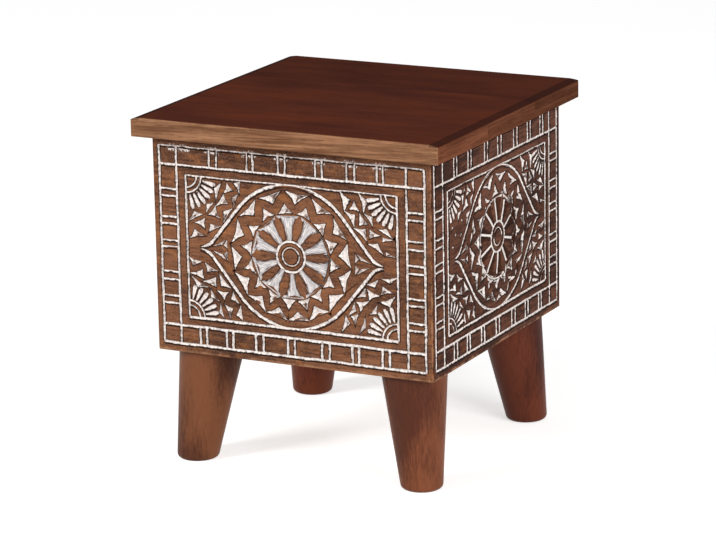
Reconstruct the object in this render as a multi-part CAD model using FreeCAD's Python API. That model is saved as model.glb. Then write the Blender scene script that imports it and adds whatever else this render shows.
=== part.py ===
"""Carved storage side table: a mitred box on four splayed turned legs, closed by a hinged plank lid.

Sizes are in millimetres. The origin is on the floor below the middle of the table.
+X runs to the right along the front, +Y runs to the back and +Z is up.
"""

import FreeCAD
import Part
import math
import os
from FreeCAD import Vector

# Carved box: four boards mitred at the corners
BOX_WIDTH = 300.0
BOX_DEPTH = 300.0
PANEL_HEIGHT = 216.0
PANEL_THICKNESS = 12.0
CORNER_ROUND = 2.5  # radius of the upright outer corners, shared by two boards
BOTTOM_ROUND = 1.2  # radius of the lower outer edge

# Carving: V cuts on the outer face of each wall, three frames with pairs of ticks between the outer two
LINE_WIDTH = 1.8
LINE_DEPTH = 1.1
OUTER_SIDE_INSET = 7.5  # from the upright edges of the wall
OUTER_FOOT_INSET = 9.0
OUTER_TOP_INSETS = {"front": 9.0, "right": 6.0, "back": 9.0, "left": 9.0}  # from the rim of each wall
MIDDLE_SIDE_INSET = 26.25
MIDDLE_LEVEL_INSET = 27.5  # from the foot and from the rim of the wall
INNER_SIDE_INSET = 36.25
INNER_LEVEL_INSET = 37.0
PAIR_GAP = 7.5  # between the two ticks of a pair
FRONT_PAIRS_ABOVE = (-83.5, -43.0, -8.5, 31.5, 65.5, 96.5)  # spaced by eye, from the middle of the wall
PAIRS_ABOVE = (-95.5, -63.5, -26.0, 5.0, 42.5, 75.0, 105.5)
PAIRS_BELOW = (-98.5, -69.5, -36.5, -2.0, 35.5, 67.5, 100.0)
PAIRS_BESIDE = (-55.0, -31.0, 1.0, 24.5, 52.5)

# Carving: the pointed oval inside the frames
OGEE_WIDTH = 2.2
OGEE_CREST_GAP = 1.0  # from the inner frame to the top and the bottom of the oval
OGEE_TIP_GAP = 14.25  # from the inner frame to the points
OGEE_TIP_SPREAD = 1.25  # from the long axis to each of the two cuts that meet at a point
OGEE_TIP_RADIUS = 18.0
OGEE_SLOPE = 51.0  # degrees, of the straight flanks

# Carving: the rosette in the middle, with petals between hollows and two rings of chips round them
RING_RADII = (9.0, 15.2)
PETAL_COUNT = 10
PETAL_TURN = 3.0  # degrees
HOLLOW_SECTIONS = ((16.0, 4.8, 0.9), (29.0, 7.2, 1.9), (39.6, 20.8, 2.5))  # radius, width, depth
CHIP_COUNT = 15
CHIP_DEPTH = 2.2
CHIP_START = -5.5  # degrees
CHIP_DRIFT = 12.0  # degrees that the rings, laid out by eye, run ahead on the far side
INNER_CHIP_BASE = 44.0  # radius of a chip's base
INNER_CHIP_POINT = 52.0
INNER_CHIP_WIDTH = 11.8
OUTER_CHIP_BASE = 63.2
OUTER_CHIP_POINT = 54.6
OUTER_CHIP_WIDTH = 19.6

# Carving: a quarter sun in each corner of the inner frame
SUN_RADII = (12.0, 17.0)
SUN_RAY_COUNT = 6
SUN_RAY_MARGIN = 13.0  # degrees from the frame to the nearest ray
SUN_RAY_SECTIONS = ((20.0, 1.4, 0.8), (31.0, 2.8, 1.5))  # radius, width, depth

# Base board, let into a rebate along the foot of the panels
BASE_THICKNESS = 15.0
REBATE_DEPTH = 5.0
REBATE_CLEARANCE = 0.2

# Triangular glue blocks behind the mitres
BLOCK_SIDE = 28.0
BLOCK_DROP = 30.0  # how far the blocks stop below the rim of the box

# Legs: turned cones cut level at both ends
LEG_HEIGHT = 115.0
LEG_TOP_RADIUS = 32.5
LEG_FOOT_RADIUS = 20.5
LEG_INSET = 39.0  # from the outer faces of the box to the middle of a leg's top
LEG_SPLAY = 13.0  # how far the foot stands out from the top, along X and along Y
LEG_FOOT_ROUND = 5.0

# Hanger bolts and tee nuts that hold the legs to the base board
BOLT_RADIUS = 4.0
BOLT_BITE = 40.0  # length of a bolt inside its leg
TEE_BARREL_RADIUS = 5.5
TEE_BARREL_LENGTH = 11.0
TEE_FLANGE_RADIUS = 11.0
TEE_FLANGE_THICKNESS = 1.5
THREAD_CLEARANCE = 0.05  # between a fastener and its hole

# Countersunk screws through the base board into the glue blocks
BASE_SCREW_HEAD_RADIUS = 4.0
BASE_SCREW_RADIUS = 2.0
BASE_SCREW_BITE = 20.0  # length inside a block

# Lid of planks glued edge to edge
LID_THICKNESS = 19.0
LID_OVERHANG = 15.0
PLANK_NAMES = ("front", "middle", "rear")
LID_CORNER_ROUND = 2.5
LID_TOP_ROUND = 2.0
LID_UNDER_ROUND = 1.2
END_BEVEL_WIDTH = 10.0  # shallow bevel along the end grain, across the top
END_BEVEL_DROP = 1.8

# Battens across the planks, under the lid
BATTEN_WIDTH = 24.0
BATTEN_THICKNESS = 12.0
BATTEN_ROUND = 2.0
BATTEN_INSET = 45.0  # from the inner face of a side panel to the middle of a batten
BATTEN_END_GAP = 16.0  # from the inner faces of the front and back panels
BATTEN_SCREW_HEAD_RADIUS = 4.0
BATTEN_SCREW_RADIUS = 2.0
BATTEN_SCREW_BITE = 12.0  # length inside a plank

# Butt hinges: one leaf on the back of the box, the other let into the lid
HINGE_LENGTH = 50.0
HINGE_INSET = 60.0  # from the outer face of a side panel to the middle of a hinge
LEAF_WIDTH = 14.0  # from the pin to the free edge of a leaf
LEAF_THICKNESS = 1.5
KNUCKLE_RADIUS = 3.0
KNUCKLE_COUNT = 5
KNUCKLE_GAP = 0.3  # between neighbouring knuckles
KNUCKLE_CLEARANCE = 0.3  # between a knuckle and the wood or leaf beside it
PIN_RADIUS = 1.5
PIN_CLEARANCE = 0.05
POCKET_CLEARANCE = 0.3  # round the leaf in the lid's pocket
HINGE_SCREW_COUNT = 3
HINGE_SCREW_PITCH = 17.0
HINGE_SCREW_OFFSET = 9.0  # from the pin to the row of screws
HINGE_SCREW_HEAD_RADIUS = 2.8
HINGE_SCREW_RADIUS = 1.4
HINGE_SCREW_LENGTH = 10.0

# Places that follow from the sizes above
RIM_Z = LEG_HEIGHT + PANEL_HEIGHT
BASE_TOP_Z = LEG_HEIGHT + BASE_THICKNESS
INNER_X = BOX_WIDTH / 2 - PANEL_THICKNESS
INNER_Y = BOX_DEPTH / 2 - PANEL_THICKNESS
LID_WIDTH = BOX_WIDTH + 2 * LID_OVERHANG
LID_DEPTH = BOX_DEPTH + 2 * LID_OVERHANG
LID_TOP_Z = RIM_Z + LID_THICKNESS
PLANK_DEPTH = LID_DEPTH / len(PLANK_NAMES)
BATTEN_X = INNER_X - BATTEN_INSET
BATTEN_UNDER_Z = RIM_Z - BATTEN_THICKNESS
HINGE_X = BOX_WIDTH / 2 - HINGE_INSET
KNUCKLE_REACH = KNUCKLE_RADIUS + KNUCKLE_CLEARANCE
PIN_Y = BOX_DEPTH / 2 + KNUCKLE_REACH
PIN_Z = RIM_Z + LEAF_THICKNESS - KNUCKLE_REACH
OVERCUT = 1.0  # how far a cutting shape runs past the face that it opens

ORIGIN = Vector(0, 0, 0)
AXIS_X = Vector(1, 0, 0)
AXIS_Y = Vector(0, 1, 0)
AXIS_Z = Vector(0, 0, 1)
CORNERS = {
    "front_left": (-1, -1),
    "front_right": (1, -1),
    "back_left": (-1, 1),
    "back_right": (1, 1),
}
SIDES = {"left": -1, "right": 1}
WALLS = {  # turn from the front in degrees, width, distance of the face from the middle
    "front": (0, BOX_WIDTH, BOX_DEPTH / 2),
    "right": (90, BOX_DEPTH, BOX_WIDTH / 2),
    "back": (180, BOX_WIDTH, BOX_DEPTH / 2),
    "left": (270, BOX_DEPTH, BOX_WIDTH / 2),
}


# Helpers


def slab(x0, x1, y0, y1, z0, z1):
    """A box between six limits."""
    return Part.makeBox(x1 - x0, y1 - y0, z1 - z0, Vector(x0, y0, z0))


def prism(corners, direction, length):
    """A bar on a plane outline, whose corners are (point, radius) pairs."""
    edges = []
    joins = [rounded_corner(corners, i) for i in range(len(corners))]
    for i, (start, middle, end) in enumerate(joins):
        previous_end = joins[i - 1][2]
        if (start - previous_end).Length > 1e-6:
            edges.append(Part.LineSegment(previous_end, start).toShape())
        if (end - start).Length > 1e-6:
            edges.append(Part.Arc(start, middle, end).toShape())
    return Part.Face(Part.Wire(edges)).extrude(direction * length)


def rounded_corner(corners, i):
    """Start, middle and end of the arc that rounds one corner of an outline."""
    point, radius = corners[i]
    back = (corners[i - 1][0] - point).normalize()
    ahead = (corners[(i + 1) % len(corners)][0] - point).normalize()
    half_angle = back.getAngle(ahead) / 2
    reach = radius / math.tan(half_angle)
    inward = (back + ahead).normalize()
    middle = point + inward * (radius / math.sin(half_angle) - radius)
    return point + back * reach, middle, point + ahead * reach


def rounded_plan(width, depth, corner_round, z0, z1):
    """An upright block with a rectangular plan and rounded upright corners."""
    signs = [(-1, -1), (1, -1), (1, 1), (-1, 1)]
    corners = [(Vector(sx * width / 2, sy * depth / 2, z0), corner_round) for sx, sy in signs]
    return prism(corners, AXIS_Z, z1 - z0)


def countersunk(head_radius, shank_radius, length, place, direction, spare=0.0):
    """A countersunk screw with its flat head at place; spare grows it into its own hole."""
    head = head_radius + spare
    shank = shank_radius + spare
    end = length + spare
    profile = [(0, 0), (head, 0), (shank, head - shank), (shank, end - shank), (0, end)]
    points = [Vector(radius, 0, depth) for radius, depth in profile]
    outline = Part.makePolygon(points + points[:1])
    screw = Part.Face(outline).revolve(ORIGIN, AXIS_Z, 360)
    screw.Placement = FreeCAD.Placement(place, FreeCAD.Rotation(AXIS_Z, direction))
    return screw


def cut_all(shape, tools):
    """Takes several tools away from a shape."""
    return shape.cut(tools) if tools else shape


def level_edges(shape, z):
    """The edges of a shape that lie level at one height."""
    return [e for e in shape.Edges if abs(e.BoundBox.ZMin - z) < 1e-3 and abs(e.BoundBox.ZMax - z) < 1e-3]


# Carved box


def case_form():
    """The four walls as one ring with its rebate, before it is divided at the mitres."""
    block = rounded_plan(BOX_WIDTH, BOX_DEPTH, CORNER_ROUND, LEG_HEIGHT, RIM_Z)
    block = block.makeFillet(BOTTOM_ROUND, level_edges(block, LEG_HEIGHT))
    hollow = slab(-INNER_X, INNER_X, -INNER_Y, INNER_Y, LEG_HEIGHT - OVERCUT, RIM_Z + OVERCUT)
    rebate_x = INNER_X + REBATE_DEPTH
    rebate_y = INNER_Y + REBATE_DEPTH
    rebate = slab(-rebate_x, rebate_x, -rebate_y, rebate_y, LEG_HEIGHT - OVERCUT, BASE_TOP_Z)
    return cut_all(block, [hollow, rebate])


def mitre_wedge(width):
    """The wedge of space that holds one wall between its two mitres, in the wall's own place."""
    inner = width / 2 - PANEL_THICKNESS
    outer = width / 2 + OVERCUT
    foot = -OVERCUT
    plan = [
        Vector(-inner, PANEL_THICKNESS, foot),
        Vector(inner, PANEL_THICKNESS, foot),
        Vector(outer, -OVERCUT, foot),
        Vector(-outer, -OVERCUT, foot),
    ]
    return prism([(point, 0) for point in plan], AXIS_Z, PANEL_HEIGHT + 2 * OVERCUT)


def panels():
    """The four carved boards, with pilot holes for the hinge screws in the back one."""
    case = case_form()
    boards = {}
    for name, (turn, width, distance) in WALLS.items():
        wedge, *cuts = in_place([mitre_wedge(width)] + carving(name, width), turn, distance)
        boards[f"{name}_panel"] = cut_all(case.common(wedge), cuts)
    boards["back_panel"] = cut_all(boards["back_panel"], hinge_box_screws(THREAD_CLEARANCE))
    return boards


# Carving, in the place of a wall: X along it from its middle, Y into the wood and Z up from its foot


def in_place(shapes, turn, distance):
    """Moves shapes from the place of a wall to the wall itself."""
    for shape in shapes:
        shape.translate(Vector(0, -distance, LEG_HEIGHT))
        shape.rotate(ORIGIN, AXIS_Z, turn)
    return shapes


def polar(centre, radius, degrees):
    """A point of the face, at an angle from +X towards +Z."""
    angle = math.radians(degrees)
    return centre + Vector(radius * math.cos(angle), 0, radius * math.sin(angle))


def v_section(middle, across, width, depth):
    """The outline of a V cut, carried on past the face that it opens."""
    half = width / 2 * (depth + OVERCUT) / depth
    mouth = middle - AXIS_Y * OVERCUT
    corners = [mouth - across * half, mouth + across * half, middle + AXIS_Y * depth]
    return Part.makePolygon(corners + corners[:1])


def v_line(start, end, width):
    """A straight V cut."""
    along = end - start
    across = along.cross(AXIS_Y).normalize()
    return Part.Face(v_section(start, across, width, LINE_DEPTH)).extrude(along)


def v_arc(centre, radius, first, sweep, width):
    """A V cut along an arc."""
    start = polar(centre, radius, first)
    across = (start - centre).normalize()
    return Part.Face(v_section(start, across, width, LINE_DEPTH)).revolve(centre, -AXIS_Y, sweep)


def radial_cut(centre, degrees, sections):
    """A V cut straight out from a centre, through sections of radius, width and depth."""
    across = polar(ORIGIN, 1, degrees + 90)
    outlines = []
    for radius, width, depth in sections:
        outlines.append(v_section(polar(centre, radius, degrees), across, width, depth))
    return Part.makeLoft(outlines, True, True)


def frame_cuts(name, width):
    """Three frames, the middle one run on to the outer one, and the pairs of ticks between those two."""
    half = width / 2
    rim = PANEL_HEIGHT - OUTER_TOP_INSETS[name]
    outer = (OUTER_SIDE_INSET - half, half - OUTER_SIDE_INSET, OUTER_FOOT_INSET, rim)
    middle_top = PANEL_HEIGHT - MIDDLE_LEVEL_INSET
    middle = (MIDDLE_SIDE_INSET - half, half - MIDDLE_SIDE_INSET, MIDDLE_LEVEL_INSET, middle_top)
    inner_top = PANEL_HEIGHT - INNER_LEVEL_INSET
    inner = (INNER_SIDE_INSET - half, half - INNER_SIDE_INSET, INNER_LEVEL_INSET, inner_top)
    levels = [(outer[:2], z) for z in outer[2:] + middle[2:]] + [(inner[:2], z) for z in inner[2:]]
    uprights = [(outer[2:], x) for x in outer[:2] + middle[:2]] + [(inner[2:], x) for x in inner[:2]]
    for gap in (-PAIR_GAP / 2, PAIR_GAP / 2):
        above = FRONT_PAIRS_ABOVE if name == "front" else PAIRS_ABOVE
        uprights += [((middle[3], outer[3]), x + gap) for x in above]
        uprights += [((outer[2], middle[2]), x + gap) for x in PAIRS_BELOW]
        for ends in ((outer[0], middle[0]), (middle[1], outer[1])):
            levels += [(ends, PANEL_HEIGHT / 2 + z + gap) for z in PAIRS_BESIDE]
    cuts = [v_line(Vector(x0, 0, z), Vector(x1, 0, z), LINE_WIDTH) for (x0, x1), z in levels]
    cuts += [v_line(Vector(x, 0, z0), Vector(x, 0, z1), LINE_WIDTH) for (z0, z1), x in uprights]
    return cuts


def ogee_cuts(width):
    """The pointed oval: above and below, a crown, two straight flanks and two hollow ends."""
    middle = AXIS_Z * (PANEL_HEIGHT / 2)
    length = width / 2 - INNER_SIDE_INSET - OGEE_TIP_GAP
    height = PANEL_HEIGHT / 2 - INNER_LEVEL_INSET - OGEE_CREST_GAP
    slope = math.radians(OGEE_SLOPE)
    run = length * math.sin(slope) - (height - OGEE_TIP_SPREAD) * math.cos(slope)
    crown_radius = run / (1 - math.cos(slope)) - OGEE_TIP_RADIUS
    cuts = []
    for up in (1, -1):
        crown = middle + AXIS_Z * (up * (height - crown_radius))
        cuts.append(v_arc(crown, crown_radius, up * 90 - OGEE_SLOPE, 2 * OGEE_SLOPE, OGEE_WIDTH))
        for side in (1, -1):
            tip = middle + Vector(side * length, 0, up * (OGEE_TIP_SPREAD + OGEE_TIP_RADIUS))
            out = Vector(side * math.sin(slope), 0, up * math.cos(slope))
            flank_end = tip - out * OGEE_TIP_RADIUS
            cuts.append(v_line(crown + out * crown_radius, flank_end, OGEE_WIDTH))
            first = -90 * up - (OGEE_SLOPE if side == up else 0)
            cuts.append(v_arc(tip, OGEE_TIP_RADIUS, first, OGEE_SLOPE, OGEE_WIDTH))
    return cuts


def pit(corners):
    """A three-sided chip, deepest in its middle."""
    low = (corners[0] + corners[1] + corners[2]) / 3 + AXIS_Y * CHIP_DEPTH
    mouth = [low + (corner - low) * ((CHIP_DEPTH + OVERCUT) / CHIP_DEPTH) for corner in corners]
    return Part.makeLoft([Part.makePolygon(mouth + mouth[:1]), Part.Vertex(low)], True, True)


def chip_ring(centre, base, point, width, shift):
    """A ring of chips, shifted by a share of the distance between two."""
    spread = math.degrees(width / 2 / base)
    chips = []
    for i in range(CHIP_COUNT):
        angle = CHIP_START + (i + shift) * 360 / CHIP_COUNT
        angle += CHIP_DRIFT * math.sin(math.radians(angle) / 2) ** 2
        ends = [polar(centre, base, angle - spread), polar(centre, base, angle + spread)]
        chips.append(pit(ends + [polar(centre, point, angle)]))
    return chips


def rosette_cuts():
    """Two rings, the hollows that leave the petals standing, and the chips round them."""
    centre = AXIS_Z * (PANEL_HEIGHT / 2)
    cuts = [v_arc(centre, radius, 0, 360, LINE_WIDTH) for radius in RING_RADII]
    for i in range(PETAL_COUNT):
        angle = PETAL_TURN + (i + 0.5) * 360 / PETAL_COUNT
        cuts.append(radial_cut(centre, angle, HOLLOW_SECTIONS))
    cuts += chip_ring(centre, INNER_CHIP_BASE, INNER_CHIP_POINT, INNER_CHIP_WIDTH, 0)
    cuts += chip_ring(centre, OUTER_CHIP_BASE, OUTER_CHIP_POINT, OUTER_CHIP_WIDTH, 0.5)
    return cuts


def sun_cuts(width):
    """A quarter sun in each corner of the inner frame: two arcs and a fan of rays."""
    x = width / 2 - INNER_SIDE_INSET
    low = INNER_LEVEL_INSET
    high = PANEL_HEIGHT - INNER_LEVEL_INSET
    corners = [Vector(-x, 0, low), Vector(x, 0, low), Vector(x, 0, high), Vector(-x, 0, high)]
    pitch = (90 - 2 * SUN_RAY_MARGIN) / (SUN_RAY_COUNT - 1)
    cuts = []
    for i, corner in enumerate(corners):
        first = 90 * i
        cuts += [v_arc(corner, radius, first, 90, LINE_WIDTH) for radius in SUN_RADII]
        angles = [first + SUN_RAY_MARGIN + j * pitch for j in range(SUN_RAY_COUNT)]
        cuts += [radial_cut(corner, angle, SUN_RAY_SECTIONS) for angle in angles]
    return cuts


def carving(name, width):
    """All the cuts of one wall."""
    return frame_cuts(name, width) + ogee_cuts(width) + rosette_cuts() + sun_cuts(width)


# Base board and glue blocks


def base_screws(spare=0.0):
    """Screws up through the base board, one into the middle of each glue block."""
    length = BASE_THICKNESS + BASE_SCREW_BITE
    screws = []
    for sx, sy in CORNERS.values():
        place = Vector(sx * (INNER_X - BLOCK_SIDE / 3), sy * (INNER_Y - BLOCK_SIDE / 3), LEG_HEIGHT)
        screws.append(countersunk(BASE_SCREW_HEAD_RADIUS, BASE_SCREW_RADIUS, length, place, AXIS_Z, spare))
    return screws


def base_board():
    """The floor of the box, flush with the foot of the panels."""
    half_x = INNER_X + REBATE_DEPTH - REBATE_CLEARANCE
    half_y = INNER_Y + REBATE_DEPTH - REBATE_CLEARANCE
    board = slab(-half_x, half_x, -half_y, half_y, LEG_HEIGHT, BASE_TOP_Z)
    holes = base_screws(THREAD_CLEARANCE)
    for sx, sy in CORNERS.values():
        top = leg_top(sx, sy)
        nut_floor = Vector(top.x, top.y, BASE_TOP_Z - TEE_BARREL_LENGTH)
        holes.append(Part.makeCylinder(BOLT_RADIUS + THREAD_CLEARANCE, BASE_THICKNESS, top))
        holes.append(Part.makeCylinder(TEE_BARREL_RADIUS + THREAD_CLEARANCE, TEE_BARREL_LENGTH, nut_floor))
    return cut_all(board, holes)


def corner_block(sx, sy):
    """A glue block with a triangular plan, in one inside corner."""
    corner = Vector(sx * INNER_X, sy * INNER_Y, BASE_TOP_Z)
    plan = [corner, corner - AXIS_X * (sx * BLOCK_SIDE), corner - AXIS_Y * (sy * BLOCK_SIDE)]
    block = prism([(point, 0) for point in plan], AXIS_Z, RIM_Z - BLOCK_DROP - BASE_TOP_Z)
    return cut_all(block, base_screws(THREAD_CLEARANCE))


# Legs


def leg_top(sx, sy):
    """The middle of a leg's top."""
    return Vector(sx * (BOX_WIDTH / 2 - LEG_INSET), sy * (BOX_DEPTH / 2 - LEG_INSET), LEG_HEIGHT)


def leg(sx, sy):
    """A turned taper that leans outwards, cut level, rounded at the foot and bored for its bolt."""
    top = leg_top(sx, sy)
    lean = Vector(sx * LEG_SPLAY, sy * LEG_SPLAY, -LEG_HEIGHT)
    spare = LEG_TOP_RADIUS * LEG_SPLAY * math.sqrt(2) / LEG_HEIGHT
    taper = (LEG_TOP_RADIUS - LEG_FOOT_RADIUS) / lean.Length
    length = lean.Length + 2 * spare
    start = top - lean.normalize() * spare
    wide = LEG_TOP_RADIUS + taper * spare
    turned = Part.makeCone(wide, wide - taper * length, length, start, lean)
    reach = BOX_WIDTH + BOX_DEPTH
    shape = turned.common(slab(-reach, reach, -reach, reach, 0, LEG_HEIGHT))
    shape = shape.makeFillet(LEG_FOOT_ROUND, level_edges(shape, 0))
    hole_depth = BOLT_BITE + THREAD_CLEARANCE
    hole = Part.makeCylinder(BOLT_RADIUS + THREAD_CLEARANCE, hole_depth, top - AXIS_Z * hole_depth)
    return shape.cut(hole)


def leg_bolt(sx, sy):
    """A hanger bolt from inside a leg to the top of its tee nut."""
    length = BOLT_BITE + BASE_THICKNESS + TEE_FLANGE_THICKNESS
    return Part.makeCylinder(BOLT_RADIUS, length, leg_top(sx, sy) - AXIS_Z * BOLT_BITE)


def tee_nut(sx, sy):
    """A tee nut, flange on the base board and barrel inside it."""
    middle = leg_top(sx, sy)
    seat = Vector(middle.x, middle.y, BASE_TOP_Z)
    flange = Part.makeCylinder(TEE_FLANGE_RADIUS, TEE_FLANGE_THICKNESS, seat)
    barrel = Part.makeCylinder(TEE_BARREL_RADIUS, TEE_BARREL_LENGTH, seat - AXIS_Z * TEE_BARREL_LENGTH)
    bore_length = TEE_BARREL_LENGTH + TEE_FLANGE_THICKNESS
    bore = Part.makeCylinder(BOLT_RADIUS + THREAD_CLEARANCE, bore_length, seat - AXIS_Z * TEE_BARREL_LENGTH)
    return flange.fuse(barrel).removeSplitter().cut(bore)


# Lid


def lid_form():
    """The whole lid with its bevelled ends and eased edges, before it is divided into planks."""
    half_x = LID_WIDTH / 2
    half_y = LID_DEPTH / 2
    ends = [
        (Vector(-half_x, -half_y, RIM_Z), LID_UNDER_ROUND),
        (Vector(half_x, -half_y, RIM_Z), LID_UNDER_ROUND),
        (Vector(half_x, -half_y, LID_TOP_Z - END_BEVEL_DROP), LID_TOP_ROUND),
        (Vector(half_x - END_BEVEL_WIDTH, -half_y, LID_TOP_Z), 0),
        (Vector(END_BEVEL_WIDTH - half_x, -half_y, LID_TOP_Z), 0),
        (Vector(-half_x, -half_y, LID_TOP_Z - END_BEVEL_DROP), LID_TOP_ROUND),
    ]
    edges = [
        (Vector(-half_x, -half_y, RIM_Z), LID_UNDER_ROUND),
        (Vector(-half_x, half_y, RIM_Z), LID_UNDER_ROUND),
        (Vector(-half_x, half_y, LID_TOP_Z), LID_TOP_ROUND),
        (Vector(-half_x, -half_y, LID_TOP_Z), LID_TOP_ROUND),
    ]
    along_y = prism(ends, AXIS_Y, LID_DEPTH)
    along_x = prism(edges, AXIS_X, LID_WIDTH)
    upright = rounded_plan(LID_WIDTH, LID_DEPTH, LID_CORNER_ROUND, RIM_Z, LID_TOP_Z)
    return along_y.common(along_x).common(upright)


def plank_y(i):
    """The middle of a plank, counted from the front."""
    return -LID_DEPTH / 2 + (i + 0.5) * PLANK_DEPTH


def planks():
    """The planks from front to back, with pilot holes and the pockets for the hinges."""
    form = lid_form()
    holes = batten_screws(THREAD_CLEARANCE) + hinge_lid_screws(THREAD_CLEARANCE) + hinge_pockets()
    form = cut_all(form, holes)
    reach = LID_WIDTH / 2
    boards = []
    for i in range(len(PLANK_NAMES)):
        near = plank_y(i) - PLANK_DEPTH / 2
        boards.append(form.common(slab(-reach, reach, near, near + PLANK_DEPTH, RIM_Z, LID_TOP_Z)))
    return boards


def batten_screws(spare=0.0):
    """Screws up through the battens, one into each plank."""
    length = BATTEN_THICKNESS + BATTEN_SCREW_BITE
    screws = []
    for side in SIDES.values():
        for i in range(len(PLANK_NAMES)):
            place = Vector(side * BATTEN_X, plank_y(i), BATTEN_UNDER_Z)
            sizes = (BATTEN_SCREW_HEAD_RADIUS, BATTEN_SCREW_RADIUS, length)
            screws.append(countersunk(*sizes, place, AXIS_Z, spare))
    return screws


def batten(side):
    """A cleat across the planks, its lower edges eased."""
    x = side * BATTEN_X
    front = BATTEN_END_GAP - INNER_Y
    section = [
        (Vector(x - BATTEN_WIDTH / 2, front, RIM_Z), 0),
        (Vector(x - BATTEN_WIDTH / 2, front, BATTEN_UNDER_Z), BATTEN_ROUND),
        (Vector(x + BATTEN_WIDTH / 2, front, BATTEN_UNDER_Z), BATTEN_ROUND),
        (Vector(x + BATTEN_WIDTH / 2, front, RIM_Z), 0),
    ]
    return cut_all(prism(section, AXIS_Y, -2 * front), batten_screws(THREAD_CLEARANCE))


# Hinges


def hinge_screw_xs(side):
    """Places of a leaf's screws along the hinge."""
    first = side * HINGE_X - HINGE_SCREW_PITCH * (HINGE_SCREW_COUNT - 1) / 2
    return [first + i * HINGE_SCREW_PITCH for i in range(HINGE_SCREW_COUNT)]


def hinge_screws(y, z, direction, spare):
    """A row of screws in both hinges, heads level with the leaf."""
    sizes = (HINGE_SCREW_HEAD_RADIUS, HINGE_SCREW_RADIUS, HINGE_SCREW_LENGTH)
    xs = [x for side in SIDES.values() for x in hinge_screw_xs(side)]
    return [countersunk(*sizes, Vector(x, y, z), direction, spare) for x in xs]


def hinge_box_screws(spare=0.0):
    """Screws through the box leaves into the back panel."""
    return hinge_screws(BOX_DEPTH / 2 + LEAF_THICKNESS, PIN_Z - HINGE_SCREW_OFFSET, -AXIS_Y, spare)


def hinge_lid_screws(spare=0.0):
    """Screws through the lid leaves into the rear plank."""
    return hinge_screws(PIN_Y - HINGE_SCREW_OFFSET, RIM_Z, AXIS_Z, spare)


def hinge_pockets():
    """The shallow pockets under the lid that take the leaves and clear the knuckles."""
    half = HINGE_LENGTH / 2 + POCKET_CLEARANCE
    front = PIN_Y - LEAF_WIDTH - POCKET_CLEARANCE
    top = RIM_Z + LEAF_THICKNESS
    xs = [side * HINGE_X for side in SIDES.values()]
    return [slab(x - half, x + half, front, PIN_Y + KNUCKLE_REACH, RIM_Z - OVERCUT, top) for x in xs]


def leaf(first_knuckle):
    """A leaf that hangs down behind a pin on the X axis and holds every second knuckle."""
    half = HINGE_LENGTH / 2
    pitch = HINGE_LENGTH / KNUCKLE_COUNT
    back = -KNUCKLE_REACH
    shape = slab(-half, half, back, back + LEAF_THICKNESS, -LEAF_WIDTH, -KNUCKLE_REACH)
    for i in range(first_knuckle, KNUCKLE_COUNT, 2):
        start = i * pitch - half + KNUCKLE_GAP / 2
        length = pitch - KNUCKLE_GAP
        tab = slab(start, start + length, back, back + LEAF_THICKNESS, -KNUCKLE_REACH, 0)
        knuckle = Part.makeCylinder(KNUCKLE_RADIUS, length, AXIS_X * start, AXIS_X)
        shape = shape.fuse([tab, knuckle])
    bore = Part.makeCylinder(PIN_RADIUS + PIN_CLEARANCE, HINGE_LENGTH, AXIS_X * -half, AXIS_X)
    return shape.removeSplitter().cut(bore)


def box_leaf(side):
    """The leaf on the back of the box."""
    shape = leaf(0)
    shape.translate(Vector(side * HINGE_X, PIN_Y, PIN_Z))
    return cut_all(shape, hinge_box_screws(THREAD_CLEARANCE))


def lid_leaf(side):
    """The leaf in the lid's pocket, level with the underside of the lid."""
    shape = leaf(1)
    shape.rotate(ORIGIN, AXIS_X, -90)
    shape.translate(Vector(side * HINGE_X, PIN_Y, PIN_Z))
    return cut_all(shape, hinge_lid_screws(THREAD_CLEARANCE))


def hinge_pin(side):
    """The pin, as long as the hinge."""
    start = Vector(side * HINGE_X - HINGE_LENGTH / 2, PIN_Y, PIN_Z)
    return Part.makeCylinder(PIN_RADIUS, HINGE_LENGTH, start, AXIS_X)


# Assembly


def build():
    """Every piece of the table, by name."""
    pieces = panels()
    pieces["base_board"] = base_board()
    pieces["base_screws"] = Part.makeCompound(base_screws())
    for corner, (sx, sy) in CORNERS.items():
        pieces[f"corner_block_{corner}"] = corner_block(sx, sy)
        pieces[f"leg_{corner}"] = leg(sx, sy)
    pieces["leg_bolts"] = Part.makeCompound([leg_bolt(*signs) for signs in CORNERS.values()])
    pieces["leg_tee_nuts"] = Part.makeCompound([tee_nut(*signs) for signs in CORNERS.values()])
    for name, plank in zip(PLANK_NAMES, planks()):
        pieces[f"lid_plank_{name}"] = plank
    for name, side in SIDES.items():
        pieces[f"lid_batten_{name}"] = batten(side)
        pieces[f"hinge_{name}_box_leaf"] = box_leaf(side)
        pieces[f"hinge_{name}_lid_leaf"] = lid_leaf(side)
        pieces[f"hinge_{name}_pin"] = hinge_pin(side)
    pieces["lid_batten_screws"] = Part.makeCompound(batten_screws())
    pieces["hinge_box_screws"] = Part.makeCompound(hinge_box_screws())
    pieces["hinge_lid_screws"] = Part.makeCompound(hinge_lid_screws())
    return pieces


os.makedirs("parts", exist_ok=True)
for node, shape in build().items():
    shape.exportStep(f"parts/{node}.step")
    print(f"{node}: {len(shape.Solids)} solids, {shape.Volume / 1000:.2f} cm3, valid {shape.isValid()}")
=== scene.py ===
"""Carved storage side table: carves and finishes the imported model, lights it and places the camera."""

import math
import random
from collections import defaultdict
from functools import partialmethod

import bmesh
import bpy
from bpy.props import FloatProperty, FloatVectorProperty, IntProperty, PointerProperty
from mathutils import Matrix, Vector


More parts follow.
